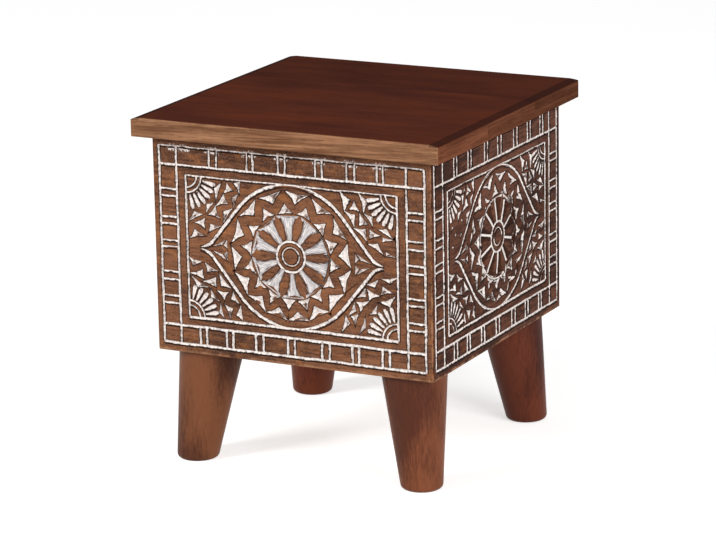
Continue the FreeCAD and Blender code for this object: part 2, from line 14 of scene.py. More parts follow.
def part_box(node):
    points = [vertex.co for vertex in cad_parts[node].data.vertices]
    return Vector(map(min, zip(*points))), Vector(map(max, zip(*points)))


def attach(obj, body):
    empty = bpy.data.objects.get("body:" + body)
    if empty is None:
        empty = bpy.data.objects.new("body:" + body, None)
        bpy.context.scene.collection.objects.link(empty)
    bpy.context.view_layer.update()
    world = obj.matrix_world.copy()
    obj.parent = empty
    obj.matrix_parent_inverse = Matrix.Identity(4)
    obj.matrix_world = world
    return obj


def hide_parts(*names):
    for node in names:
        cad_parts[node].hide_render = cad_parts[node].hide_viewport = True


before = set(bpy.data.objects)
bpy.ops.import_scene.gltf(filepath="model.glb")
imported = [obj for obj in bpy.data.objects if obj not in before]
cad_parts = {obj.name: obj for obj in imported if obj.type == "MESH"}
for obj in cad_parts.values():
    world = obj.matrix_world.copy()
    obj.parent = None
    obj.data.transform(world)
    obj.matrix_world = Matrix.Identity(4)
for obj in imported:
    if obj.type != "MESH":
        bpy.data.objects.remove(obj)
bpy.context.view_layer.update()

bl_info = {
    "name": "Carved Storage Side Table",
    "version": (1, 0, 0),
    "blender": (4, 5, 0),
    "location": "View3D > Sidebar > Side Table",
    "description": "Carves, stains and limewashes a small storage table",
    "category": "Object",
}

MM = 0.001
PANEL_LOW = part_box("front_panel")[0]
FACE = -PANEL_LOW[1]  # from the middle of the box to each carved face
FOOT_Z = PANEL_LOW[2]
CORNERS = ("front_left", "front_right", "back_left", "back_right")
SIDES = ("left", "right")
ALONG_X = (0, 0, 0)  # turns that lay the grain along an axis
ALONG_Y = (0, 0, math.radians(-90))
ALONG_Z = (0, math.radians(90), 0)

# The four carved panels: quarter turns from the front one, and the seed of the carver's hand
PANELS = {"front": (0, 11), "right": (1, 23), "back": (2, 37), "left": (3, 53)}

# Carving layout, in millimetres from the lower left corner of a panel's face
OUTER_FRAME = (7.5, 292.5, 9.0, 207.0)  # left, right, bottom, top
MIDDLE_FRAME = (26.25, 273.75, 27.5, 188.5)
INNER_FRAME = (36.25, 263.75, 37.0, 179.0)
TOP_LINES = {"right": 210.0}  # height of the outer frame's top line where it isn't OUTER_FRAME's
TICKS_ABOVE = {
    "front": (66.5, 107.0, 141.5, 181.5, 215.5, 246.5),
    "right": (54.5, 86.5, 124.0, 155.0, 192.5, 225.0, 255.5),
}
TICKS_BELOW = (51.5, 80.5, 113.5, 148.0, 185.5, 217.5, 250.0)
TICKS_BESIDE = (53.0, 77.0, 109.0, 132.5, 160.5)
OGEE_MIDDLE = (150.0, 108.0)
OGEE_HALF_LENGTH = 99.5
OGEE_HALF_HEIGHT = 70.8
OGEE_TIP_SPREAD = 1.25  # from the long axis to each of the two cuts that meet at a point
OGEE_TIP_RADIUS = 18.0
OGEE_SLOPE = 51.0  # degrees, of the straight flanks
OGEE_TAPERS = ((0.55, 18), (0.3, 32))  # share of the width at the points and the crown, and the run to grow by 1
TIP_CHIPS = (  # beside a point of the ogee, measured from the point inwards and up
    ((12.5, 1.5), (24.5, 4.4), (29.6, 10.8)),
    ((26.0, 4.4), (30.6, 11.2), (30.4, 0.6)),
)
ROSETTE_MIDDLE = (149.8, 108.4)
ROSETTE_TURN = 3.0  # degrees
HUB_RINGS = ((9.0, 1.5, 1.2), (15.2, 1.9, 1.5))  # radius, width and depth
VALLEYS = (  # radius, half width and depth of the hollow between two petals
    (15.5, 3.8, 1.2),
    (20.0, 4.3, 1.6),
    (25.0, 4.7, 2.1),
    (30.0, 5.5, 2.6),
    (34.5, 7.5, 3.0),
    (38.0, 10.0, 3.1),
    (40.6, 12.3, 2.8),
)
VALLEY_SLIM = (0.78, 1.1)  # least and greatest share of those half widths
VALLEY_BOW = 2.6  # how far the deep end of a hollow stays behind its rim
INNER_CHIP = (43.4, 53.0, 6.9)  # radius of the base, radius of the point, half the base
OUTER_CHIP = (64.0, 53.6, 11.2)
CHIP_START = -5.5  # degrees, of the first chip in the inner ring
CHIP_DRIFT = 12.0  # degrees that the ring of chips runs ahead on the far side
SUN_ARCS = (12.0, 17.0)
SUN_ARC = (0.8, 1.3)  # half width and depth
SUN_RAYS = (13.0, 25.8, 38.6, 51.4, 64.2, 77.0)  # degrees
SUN_RAY = ((18.8, 0.7, 1.2), (25.0, 1.4, 1.7), (30.5, 1.9, 2.0), (33.6, 1.3, 1.3))
SPANDREL_CHIPS = {  # three corners each, measured inwards from each corner of the inner frame
    (0, 3): (
        ((32.0, 11.0), (39.7, 4.7), (33.7, 21.7)),
        ((23.0, 27.0), (30.7, 25.3), (22.3, 35.0)),
        ((3.7, 44.7), (8.7, 35.7), (17.3, 37.7)),
        ((42.7, 13.3), (46.0, 5.0), (51.0, 11.0)),
        ((35.0, 27.0), (41.7, 17.0), (45.0, 24.3)),
        ((26.3, 36.7), (32.3, 29.3), (35.3, 39.0)),
        ((11.0, 46.3), (20.0, 42.7), (19.7, 50.7)),
        ((54.3, 3.7), (59.7, 1.6), (58.7, 11.7)),
        ((50.7, 18.3), (57.3, 14.3), (53.0, 27.3)),
        ((41.7, 32.3), (50.7, 29.3), (41.3, 43.0)),
        ((27.0, 47.0), (37.7, 47.7), (24.7, 55.0)),
        ((4.3, 62.0), (9.3, 54.3), (18.3, 59.0)),
    ),
    (1, 3): (
        ((39.5, 2.0), (30.5, 7.5), (35.0, 19.5)),
        ((34.5, 20.5), (25.5, 23.5), (25.5, 31.5)),
        ((18.5, 35.0), (11.0, 33.5), (5.0, 42.0)),
        ((44.5, 10.5), (49.0, 17.5), (41.0, 18.0)),
        ((38.5, 22.5), (39.0, 31.5), (32.0, 30.0)),
        ((28.0, 36.0), (19.5, 40.5), (28.5, 43.5)),
        ((14.5, 42.5), (15.0, 46.0), (5.0, 43.5)),
        ((59.0, 2.5), (50.5, 8.5), (55.0, 18.0)),
        ((54.5, 20.5), (44.5, 22.5), (45.0, 34.0)),
        ((44.5, 36.0), (33.0, 36.0), (32.0, 46.5)),
        ((30.0, 50.0), (20.5, 48.5), (15.0, 58.5)),
        ((12.0, 56.0), (11.5, 59.0), (2.5, 60.0)),
    ),
    (0, 2): (
        ((4.5, 40.5), (10.5, 31.0), (20.5, 31.5)),
        ((24.5, 29.0), (25.0, 22.5), (33.5, 19.0)),
        ((35.5, 16.5), (38.5, 3.0), (33.5, 7.0)),
        ((5.0, 44.0), (15.5, 47.5), (16.5, 40.5)),
        ((18.5, 37.0), (30.0, 41.5), (30.0, 34.0)),
        ((33.5, 28.5), (43.5, 28.5), (39.5, 22.0)),
        ((41.0, 15.0), (48.0, 12.5), (46.0, 4.5)),
        ((2.5, 59.5), (13.5, 56.5), (6.0, 52.5)),
        ((19.5, 55.5), (22.0, 47.5), (32.0, 49.0)),
        ((35.0, 45.5), (36.5, 34.5), (46.0, 34.0)),
        ((49.5, 30.0), (47.5, 22.0), (55.5, 19.0)),
        ((57.5, 15.5), (53.5, 7.0), (59.0, 3.0)),
    ),
    (1, 2): (
        ((19.0, 36.5), (3.5, 42.5), (8.5, 32.5)),
        ((22.0, 33.0), (23.0, 24.5), (30.0, 23.0)),
        ((35.0, 19.0), (34.5, 9.5), (41.0, 3.5)),
        ((16.5, 45.0), (15.5, 51.0), (7.0, 47.0)),
        ((31.5, 46.5), (21.5, 42.5), (30.0, 38.0)),
        ((42.5, 33.0), (32.0, 35.0), (39.5, 26.0)),
        ((49.5, 19.0), (43.0, 21.0), (46.0, 11.5)),
        ((15.0, 59.0), (2.0, 61.5), (8.0, 56.0)),
        ((33.0, 52.0), (20.5, 57.5), (24.0, 50.5)),
        ((34.5, 48.0), (34.5, 40.0), (43.0, 38.0)),
        ((46.0, 33.5), (45.0, 25.0), (52.5, 20.0)),
        ((56.0, 18.5), (52.0, 12.0), (59.5, 4.5)),
    ),
}
HEMMED_CHIPS = (0, 1, 2, 8, 9, 10)  # those in each corner that are kept clear of the rays or of the oval
SPECKS = {("right", 0, 3): (2, 5, 6, 10, 11)}  # chips that are only specks: panel, side and level of the corner

# Cuts, in millimetres
CLEAR = 0.05  # how far a cutting shape stands out of the face
LINE_PACE = 13.0  # between the strays of a line
TICK_PACE = 5.0
TICK_SHARE = 0.9  # widths of ticks, as a share of the lines'
TOP_SHARE = 0.6  # of the finer top lines of the outer and inner frames
FOOT_SHARE = 1.25  # of the broader lines and ticks along the foot
UPRIGHT_SHARES = {"right": 1.25}  # width of a panel's upright lines, where it isn't that of the level ones
LIP = 1.55  # width of the steep lip of a cut, darkened with painted shade
LINE_LIP = 1.3  # that of a straight line, where there's plenty of limewash
RING_LIP = 1.2
SUN_LIP = 0.95
RAY_LIP = 1.35
LIP_LIMIT = 0.42  # the most of a chip's inscribed circle that its lip takes
LIP_DEPTH = 0.75
LIP_SHARE = 0.45  # the most of a line's depth that its lip takes
LIP_LEAN = Vector((0.4, -0.5))  # towards the side of a cut where the lip, with its painted shade, is wider
RING_GROW = 1.2  # from a chip's given corners to the middle of its lip
CORNER_GROW = 1.46
HEMMED_GROW = 1.26
SPECK_GROW = 0.6
TIP_DEPTH = 0.8  # share of the chip depth beside the points of the ogee, and in the corners
CORNER_DEPTH = 0.85
CHIP_HOLLOW = 0.24  # how far a chip's sides curve in, as a share of its inscribed circle
CHIP_SLOPE = 0.9  # the most depth for that circle's radius, beyond CHIP_LEAST
CHIP_LEAST = 0.7
CHIP_LIP = 0.27  # least share of a chip's depth that its lip takes
THIN_SIDE = -50.0  # degrees, towards the side of a chip that is rubbed thin
THIN_SPREAD = 60.0
THIN_REACH = 0.45  # cosine of the widest turn from there
THIN_SHARE = 0.55  # chips that are rubbed thin on a side
V_CUT = ((1.0, 0.0), (0.0, 1.0), (-1.0, 0.0))  # shares of the half width and of the depth across a cut
SCOOP = ((1.0, 0.0), (0.62, 0.36), (0.28, 0.80), (0.0, 1.0), (-0.28, 0.80), (-0.62, 0.36), (-1.0, 0.0))
SCANT_PANELS = ("right",)  # where the limewash only lines the petals and the upper walls of deep cuts, and the deeper parts take the lip's painted shade
SCANT_DEPTH = 1.95  # how far down it reaches there
SCANT_LINE = 0.82  # share of the line widths there
SCANT_RIM = (41.4, 0.75, 1.4)  # radius, half width and depth of the line round the petals there
SCANT_ARC = (110, 291, 10)  # degrees, where that line starts, where it ends and its steps
SPOKE_WIDTH = 2.4  # of its line along each hollow between two petals

# Finishes: a noise has its scales for each metre, detail, roughness and distortion
GRAIN = {  # noise of each layer, and how far it swings the tone
    "Streaks": ((11.0, 330.0, 330.0), 6.0, 0.62, 0.4, 2.4),
    "Figure": ((4.0, 34.0, 34.0), 3.0, 0.5, 0.9, 2.2),
    "Clouds": ((9.0, 17.0, 17.0), 2.0, 0.5, 0.0, 2.2),
    "Flecks": ((95.0, 420.0, 420.0), 3.0, 0.6, 0.3, 2.2),
}
PLAIN_GRAIN = {"Streaks": 0.5, "Figure": 0.4, "Clouds": 0.3, "Flecks": 0.2, "Pores": 0.6}
PORES = ((75.0, 1500.0, 1500.0), 2.0, 0.5)
PORE_TINT = (0.42, 0.36, 0.34)
WASH_PATCHES = ((330.0, 330.0, 330.0), 4.0, 0.65)
WASH_FLECKS = ((1300.0, 1300.0, 1300.0), 2.0, 0.6)
WASH_DEPTHS = (0.50 * MM, 0.75 * MM)  # where the limewash begins and where it covers
WEAR_PATCHES = ((70.0, 70.0, 70.0), 6.0, 0.7)
HONEY_PATCHES = ((75.0, 75.0, 110.0), 4.0, 0.6)
FACE_SPECKS = ((520.0, 520.0, 520.0), 4.0, 0.7)
FACE_MIST = ((600.0, 600.0, 600.0), 3.0, 0.6)
FACE_HAZE = 0.07  # limewash left on a panel's face
HAZES = {"right": 0.02}
SMEARS = ((30.0, 20.0), *((tick, 12.0) for tick in TICKS_ABOVE["front"]))  # along the top line: middle, half length
BRUSH_STREAKS = ((120.0, 34.0, 1.0), 5.0, 0.7, 0.25)  # outwards and round the rosette
RIM_WASH = (38.6 * MM, 39.8 * MM)  # from the rosette's middle to where the petals' rim turns white: limewash, partly a painted highlight
RIM_PAINTED_SHADOW = (38.8 * MM, 39.6 * MM)  # and to where it turns dark with painted shadow on the far side
DULL_WASH = (0.62, 0.62, 0.62)
PETAL_TINTS = ((0.42, 0.46, 0.50), (1.0, 1.01, 1.02))  # of thin and of thick limewash
SPOKE_TINTS = ((0.80, 0.79, 0.78), (1.0, 1.0, 1.0))
# Painted shade: the near-black that darkens the lips of cuts
LIP_PAINTED_SHADE = (0.010, 0.005, 0.004)
# Painted shade on the brown sides of the hollows between petals, and painted shadow on their rim's far side
PETAL_PAINTED_SHADE = (0.014, 0.007, 0.005)
BEVEL_DARK = (0.018, 0.006, 0.005)
BARE_SHEEN = (0.0, 0.3, 0.2)  # coat, its roughness, and the wood's own reflection
PANEL_SHEEN = (0.0, 0.3, 0.04)
LID_SHEEN = (0.03, 0.3, 0.0)
LEG_SHEEN = (0.2, 0.18, 0.02)
PANEL_SHIFT = (0.31, 0.17, 0.23)  # from the grain of one board to that of the next, in metres
PLANK_SHIFT = (0.4, 0.05, 0.29)
LEG_SHIFT = (0.21, 0.37, 0.11)
EVEN_GRAIN = {"Flecks": 0.55, "Clouds": 0.5}
PANEL_GRAINS = {"right": {"Flecks": 0.9, "Clouds": 0.9}}  # a board that took the stain unevenly
PANEL_TONES_AND_SHADE = {"right": (0.50, 0.40, 0.395)}  # and is darker, by colour channel: partly a darker stain, partly painted shade on the side away from the key light
LEG_TONES = {
    "front_left": (0.78, 0.81, 0.79),
    "front_right": (0.87, 0.80, 0.80),
    "back_left": (0.63, 0.42, 0.38),
    "back_right": (0.59, 0.42, 0.46),
}
LEG_GRAIN = {"Streaks": 0.2, "Clouds": 1.4, "Flecks": 0.5, "Pores": 0.4}
PLANK_TONES = {"front": (0.87, 0.98), "middle": (0.84, 0.82), "rear": (0.70, 0.68)}  # top and sawn end
TOP_GRAIN = {"Streaks": 0.25, "Figure": 0.3, "Clouds": 0.45, "Flecks": 0.2, "Pores": 0.35}
EDGE_GRAIN = {"Streaks": 0.95, "Figure": 0.5}
EDGE_TURN = (0, 0.04, 0)
END_GRAIN = {"Streaks": 0.8, "Figure": 0.5}
TARNISH = ((160.0, 160.0, 160.0), 4.0, 0.6)
METAL_BRUSHING = ((1800.0, 900.0, 900.0), 2.0, 0.5)

# Stage, in metres
KEY_LAMP = ((-1.9, -2.7, 1.9), 1.1)  # place and size
FILL_LAMP = ((2.6, -1.2, 1.1), 1.6)
LAMP_AIM = Vector((0, 0, 0.18))
FLOOR_HALF = 20.0
FLOOR_TONES = ((0.84, 0.84, 0.84), (0.86, 0.86, 0.86))
FLOOR_GLOW = 0.60


# Settings


def a_length(name, description, millimetres):
    """A setting for a length."""
    return FloatProperty(name=name, description=description, default=millimetres * MM, unit="LENGTH")


def an_angle(name, description, degrees):
    """A setting for an angle."""
    return FloatProperty(name=name, description=description, default=math.radians(degrees), subtype="ANGLE")


def a_colour(name, description, *default):
    """A setting for a colour."""
    return FloatVectorProperty(name=name, description=description, default=default, subtype="COLOR")


class TableCarving(bpy.types.PropertyGroup):
    """Sizes of the carving."""

    line_width: a_length("Line Width", "Width of the frame lines", 1.75)
    line_depth: a_length("Line Depth", "Depth of the frame lines", 1.5)
    tick_gap: a_length("Tick Gap", "Distance between the two ticks of a pair", 7.5)
    ogee_width: a_length("Ogee Width", "Width of the curved line", 2.6)
    chip_depth: a_length("Chip Depth", "Depth of the triangular chips", 3.2)
    petals: IntProperty(name="Petals", description="Petals of the rosette", default=10, min=3)
    chips: IntProperty(name="Chips", description="Chips in each ring round the rosette", default=15, min=3)
    wobble: a_length("Wobble", "How far the chisel strays", 0.28)


class TableFinish(bpy.types.PropertyGroup):
    """Colours of the finishes."""

    panel_light: a_colour("Panel Light", "Light streaks of the carved panels", 0.228, 0.092, 0.043)
    panel_dark: a_colour("Panel Dark", "Dark streaks of the carved panels", 0.055, 0.021, 0.011)
    honey: a_colour("Honey", "Patches of the panels where the stain is thin", 0.31, 0.115, 0.036)
    worn: a_colour("Worn", "Stain rubbed thin on the corners", 0.34, 0.165, 0.085)
    lid_light: a_colour("Lid Light", "Light streaks of the lid", 0.158, 0.034, 0.012)
    lid_dark: a_colour("Lid Dark", "Dark streaks of the lid", 0.070, 0.015, 0.009)
    end_light: a_colour("End Light", "Light streaks of the lid's ends", 0.21, 0.075, 0.038)
    end_dark: a_colour("End Dark", "Dark streaks of the lid's ends", 0.095, 0.031, 0.015)
    edge_light: a_colour("Edge Light", "Light streaks of the sanded edges", 0.36, 0.18, 0.095)
    edge_dark: a_colour("Edge Dark", "Dark streaks of the sanded edges", 0.137, 0.060, 0.030)
    leg_light: a_colour("Leg Light", "Light streaks of the legs", 0.225, 0.074, 0.030)
    leg_dark: a_colour("Leg Dark", "Dark streaks of the legs", 0.088, 0.025, 0.011)
    bare_light: a_colour("Bare Light", "Light streaks of the unstained wood", 0.46, 0.29, 0.15)
    bare_dark: a_colour("Bare Dark", "Dark streaks of the unstained wood", 0.27, 0.15, 0.07)
    limewash: a_colour("Limewash", "White rubbed into the carving", 0.92, 0.83, 0.785)
    brass: a_colour("Brass", "Colour of the hinges", 0.60, 0.42, 0.17)
    zinc: a_colour("Zinc", "Colour of the plated fasteners", 0.55, 0.55, 0.54)


class TableStage(bpy.types.PropertyGroup):
    """Camera and lights."""

    azimuth: an_angle("Azimuth", "Camera's turn to the right of the front", 26.99)
    elevation: an_angle("Elevation", "Camera's height above the horizon", 14.80)
    roll: an_angle("Roll", "Camera's lean", -1.06)
    distance: FloatProperty(
        name="Distance", description="From the camera to the table", default=3.520, unit="LENGTH"
    )
    lens: FloatProperty(name="Lens", description="Focal length in millimetres", default=177.3, unit="CAMERA")
    aim: FloatVectorProperty(
        name="Aim", description="Point that the camera looks at", subtype="XYZ",
        default=(-0.0035, -0.0018, 0.1742),
    )
    key_power: FloatProperty(name="Key", description="Power of the main light", default=90.0, unit="POWER")
    fill_power: FloatProperty(name="Fill", description="Power of the side light", default=66.0, unit="POWER")
    sky: FloatProperty(name="Sky", description="Strength of the light from all round", default=0.28)


# Meshes


def new_piece(name, bm, *materials):
    """Turns a bmesh into an object of the scene and frees it."""
    mesh = bpy.data.meshes.new(name)
    bm.to_mesh(mesh)
    bm.free()
    for material in materials:
        mesh.materials.append(material)
    piece = bpy.data.objects.new(name, mesh)
    bpy.context.scene.collection.objects.link(piece)
    return piece


def merged_copy(node):
    """The mesh of a node of the frame with its loose triangles joined."""
    bm = bmesh.new()
    bm.from_mesh(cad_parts[node].data)
    bmesh.ops.remove_doubles(bm, verts=bm.verts, dist=0.001 * MM)
    return bm


def extruded(bm, face):
    """The far face of an extrusion, still in its old place."""
    made = bmesh.ops.extrude_face_region(bm, geom=[face])["geom"]
    return [item for item in made if isinstance(item, bmesh.types.BMFace)][0]


# Carving


class Chisel:
    """Collects the cuts of one panel, in the place of the front panel, in layers that don't overlap."""

    def __init__(self, seed, wobble, line_lip):
        self.hand = random.Random(seed)
        self.wobble = wobble / MM
        self.line_lip = line_lip
        self.layers = defaultdict(bmesh.new)

    def stray(self, amount=1.0):
        return self.hand.uniform(-1, 1) * self.wobble * amount

    def vary(self, share=0.12):
        return 1 + self.hand.uniform(-share, share)

    @staticmethod
    def place(u, v, depth):
        return Vector((u * MM - FACE, depth * MM - FACE, FOOT_Z + v * MM))

    @staticmethod
    def section(half, depth, profile, lip, lean=0.0):
        """Offsets and depths across a cut: a steep lip down to the shoulders, then the profile."""
        shoulder = min(LIP_DEPTH, LIP_SHARE * depth) if lip else CLEAR
        floor = [(half * across, shoulder + (depth - shoulder) * down) for across, down in profile]
        return [(half + lip * (1 + lean), -CLEAR), *floor, (-half - lip * (1 - lean), -CLEAR)]

    def groove(self, layer, stations, profile=V_CUT, lip=LIP, bow=0.0):
        """Sweeps a cut along (u, v, half width, depth) stations, to an end that bows back with the depth."""
        bm = self.layers[layer]
        face = None
        last = len(stations) - 1
        for i, (u, v, half, depth) in enumerate(stations):
            before = stations[max(i - 1, 0)]
            after = stations[min(i + 1, last)]
            along = Vector((after[0] - before[0], after[1] - before[1])).normalized()
            across = Vector((-along.y, along.x))
            section = []
            for offset, deep in self.section(half, depth, profile, lip, across.dot(LIP_LEAN)):
                back = bow * (1 - (offset / half) ** 2) if i == last else 0.0
                aside = across * offset - along * back
                section.append(self.place(u + aside.x, v + aside.y, deep))
            if face is None:
                face = bm.faces.new([bm.verts.new(point) for point in section])
                continue
            far = extruded(bm, face)
            if i > 1:
                bmesh.ops.delete(bm, geom=[face], context="FACES_ONLY")
            face = far
            for vert, point in zip(face.verts, section):
                vert.co = point
        if bow and self.hand.random() < THIN_SHARE / 2:
            face.material_index = 1

    def line(self, layer, start, end, width, depth, pace=LINE_PACE):
        """A straight cut with the small strays of a hand."""
        start = Vector(start)
        end = Vector(end)
        steps = max(2, round((end - start).length / pace))
        stations = []
        for i in range(steps + 1):
            point = start.lerp(end, i / steps)
            half = width / 2 * self.vary(0.14)
            stations.append((point.x + self.stray(), point.y + self.stray(), half, depth * self.vary()))
        self.groove(layer, stations, lip=self.line_lip)

    def ring(self, layer, middle, radius, width, depth, steps=56):
        """A round cut that closes on itself."""
        bm = self.layers[layer]
        u, v = middle
        section = self.section(width / 2, depth, V_CUT, RING_LIP)
        verts = [bm.verts.new(self.place(u + radius + offset, v, deep)) for offset, deep in section]
        edges = [bm.edges.new((verts[i], verts[i - 1])) for i in range(len(verts))]
        bmesh.ops.spin(
            bm, geom=verts + edges, cent=self.place(u, v, 0), axis=(0, 1, 0), angle=math.tau, steps=steps,
            use_merge=True,
        )

    def chip(self, layer, corners, depth, grow):
        """A pit with three hollow sides and a steep lip, deepest in its middle, often rubbed thin on a side."""
        bm = self.layers[layer]
        corners = [Vector((u + self.stray(), v + self.stray())) for u, v in corners]
        sides = [(corners[i - 1] - corners[i - 2]).length for i in range(3)]
        girth = sum(sides)
        middle = sum((corner * side for corner, side in zip(corners, sides)), Vector((0, 0))) / girth
        inner = abs((corners[1] - corners[0]).cross(corners[2] - corners[0])) / girth
        arms = []
        for i in range(3):
            waist = (corners[i] + corners[i - 2]) / 2 - middle
            arms += [corners[i] - middle, waist - waist.normalized() * CHIP_HOLLOW * inner * self.vary(0.5)]
        deep = min(depth, CHIP_SLOPE * inner + CHIP_LEAST) * self.vary()
        rim, shoulder = (grow * (1 + share * min(LIP / inner, LIP_LIMIT)) for share in (0.5, -0.5))
        aside = -0.5 * LIP * LIP_LEAN
        outline = [bm.verts.new(self.place(*(middle + arm * rim), -CLEAR)) for arm in arms]
        face = extruded(bm, bm.faces.new(outline))
        for vert, arm in zip(face.verts, arms):
            vert.co = self.place(*(middle + arm * shoulder + aside), max(LIP_DEPTH, CHIP_LIP * deep))
        made = bmesh.ops.poke(bm, faces=[face])
        bottom = made["verts"][0]
        bottom.co = self.place(*(middle + Vector((self.stray(), self.stray()))), deep)
        angle = math.radians(THIN_SIDE + self.hand.uniform(-THIN_SPREAD, THIN_SPREAD))
        thin_side = Vector((math.cos(angle), math.sin(angle)))
        if self.hand.random() < THIN_SHARE:
            for face in made["faces"]:
                across = face.calc_center_median() - bottom.co
                if Vector((across.x, across.z)).normalized().dot(thin_side) > THIN_REACH:
                    face.material_index = 1

    def cutters(self, turn, wash, petal_wash, thin_wash):
        """The layers as objects, turned to their panel."""
        for name, bm in self.layers.items():
            material = petal_wash if name == "valleys" else wash
            if any(not edge.is_manifold for edge in bm.edges):
                raise RuntimeError(f"the {name} cuts aren't closed")
            bmesh.ops.recalc_face_normals(bm, faces=bm.faces)
            bmesh.ops.rotate(bm, verts=bm.verts, cent=(0, 0, 0), matrix=Matrix.Rotation(turn, 3, "Z"))
            yield new_piece(f"cutter_{name}", bm, material, thin_wash)


def polar(middle, radius, degrees):
    """A point round a middle."""
    angle = math.radians(degrees)
    return middle[0] + radius * math.cos(angle), middle[1] + radius * math.sin(angle)


def carve_frames(chisel, sizes, panel, slim):
    """Three frames, the outer two crossing at the corners, with pairs of ticks between them."""
    width = sizes.line_width / MM * slim
    upright = sizes.line_width / MM * UPRIGHT_SHARES.get(panel, slim)
    depth = sizes.line_depth / MM
    half_gap = sizes.tick_gap / MM / 2
    left, right, bottom, top = outer = (*OUTER_FRAME[:3], TOP_LINES.get(panel, OUTER_FRAME[3]))
    for ends, limits in ((outer, outer), (outer, MIDDLE_FRAME), (INNER_FRAME, INNER_FRAME)):
        u0, u1, v0, v1 = limits
        from_u, to_u, from_v, to_v = ends
        share = 1.0 if limits is MIDDLE_FRAME else TOP_SHARE
        chisel.line("level", (from_u, v0), (to_u, v0), width * FOOT_SHARE, depth)
        chisel.line("level", (from_u, v1), (to_u, v1), width * share, depth)
        for u in (u0, u1):
            chisel.line("upright", (u, from_v), (u, to_v), upright, depth)
    ticks_above = TICKS_ABOVE.get(panel, TICKS_ABOVE["right"])
    for layer, start, end, ticks, thick in (
        ("upright", bottom, MIDDLE_FRAME[2], TICKS_BELOW, upright * TICK_SHARE * FOOT_SHARE),
        ("upright", MIDDLE_FRAME[3], top, ticks_above, upright * TICK_SHARE),
        ("level", left, MIDDLE_FRAME[0], TICKS_BESIDE, width * TICK_SHARE),
        ("level", MIDDLE_FRAME[1], right, TICKS_BESIDE, width * TICK_SHARE),
    ):
        for tick in ticks:
            half = half_gap * chisel.vary()
            for at in (tick - half, tick + half):
                ends = ((at, start), (at, end)) if layer == "upright" else ((start, at), (end, at))
                chisel.line(layer, *ends, thick, depth, TICK_PACE)


def ogee_path(steps=8):
    """The oval's upper line from point to point: a hollow end, a flank, the crown and the same again."""
    slope = math.radians(OGEE_SLOPE)
    run = OGEE_HALF_LENGTH * math.sin(slope) - (OGEE_HALF_HEIGHT - OGEE_TIP_SPREAD) * math.cos(slope)
    crown = run / (1 - math.cos(slope)) - OGEE_TIP_RADIUS
    end = (-OGEE_HALF_LENGTH, OGEE_TIP_SPREAD + OGEE_TIP_RADIUS)
    path = [polar(end, OGEE_TIP_RADIUS, OGEE_SLOPE * i / steps - 90) for i in range(steps + 1)]
    top = (0, OGEE_HALF_HEIGHT - crown)
    path += [polar(top, crown, 90 + OGEE_SLOPE * (1 - i / steps / 2)) for i in range(2 * steps + 1)]
    return path + [(-u, v) for u, v in reversed(path[:-1])]


def carve_ogee(chisel, sizes, slim):
    """The pointed oval, as one cut over the top and one under the bottom, and the chips at its points."""
    half = sizes.ogee_width / MM / 2 * slim
    depth = sizes.line_depth / MM
    u0, v0 = OGEE_MIDDLE
    (tip, tip_run), (crown, crown_run) = OGEE_TAPERS
    for layer, sign in (("upright", 1), ("under", -1)):
        stations = []
        for u, v in ogee_path():
            taper = min(1.0, tip + (OGEE_HALF_LENGTH - abs(u)) / tip_run, crown + abs(u) / crown_run)
            v += chisel.stray(0.5)
            stations.append((u0 + u, v0 + sign * v, half * taper * chisel.vary(0.1), depth * max(taper, 0.6)))
        chisel.groove(layer, stations)
    for point, inward in ((u0 - OGEE_HALF_LENGTH, 1), (u0 + OGEE_HALF_LENGTH, -1)):
        for layer, corners in zip(("chips", "scraps"), TIP_CHIPS):
            for sign in (1, -1):
                places = [(point + inward * du, v0 + sign * dv) for du, dv in corners]
                chisel.chip(layer, places, sizes.chip_depth / MM * TIP_DEPTH, 1.0)


def carve_rosette(chisel, sizes, scant):
    """Two rings, the petals that stand between hollows, and two rings of chips."""
    middle = ROSETTE_MIDDLE
    depth = sizes.chip_depth / MM
    for ring in HUB_RINGS:
        chisel.ring("under", middle, *ring)
    if scant:
        radius, half, deep = SCANT_RIM
        arc = [polar(middle, radius, degrees) for degrees in range(*SCANT_ARC)]
        chisel.groove("rims", [(u, v, half, deep) for u, v in arc], lip=RING_LIP)
    for i in range(sizes.petals):
        angle = ROSETTE_TURN + (i + 0.5) * 360 / sizes.petals + chisel.stray(3)
        slim = chisel.hand.uniform(*VALLEY_SLIM)
        stations = []
        for radius, half, deep in VALLEYS:
            u, v = polar(middle, radius, angle)
            half *= slim + (1 - slim) * (radius / VALLEYS[-1][0]) ** 4
            stations.append((u, v, half, deep * chisel.vary(0.08)))
        chisel.groove("valleys", stations, SCOOP, 0.0, VALLEY_BOW)
    for shape, layer, shift in ((INNER_CHIP, "chips", 0.0), (OUTER_CHIP, "suns", 0.5)):
        base, point, half = shape
        spread = math.degrees(half / base)
        for i in range(sizes.chips):
            angle = CHIP_START + (i + shift) * 360 / sizes.chips
            angle += CHIP_DRIFT * math.sin(math.radians(angle) / 2) ** 2
            corners = [
                polar(middle, base * chisel.vary(0.01), angle - spread),
                polar(middle, base * chisel.vary(0.01), angle + spread),
                polar(middle, point * chisel.vary(0.02), angle + chisel.stray(3)),
            ]
            chisel.chip(layer, corners, depth, RING_GROW)


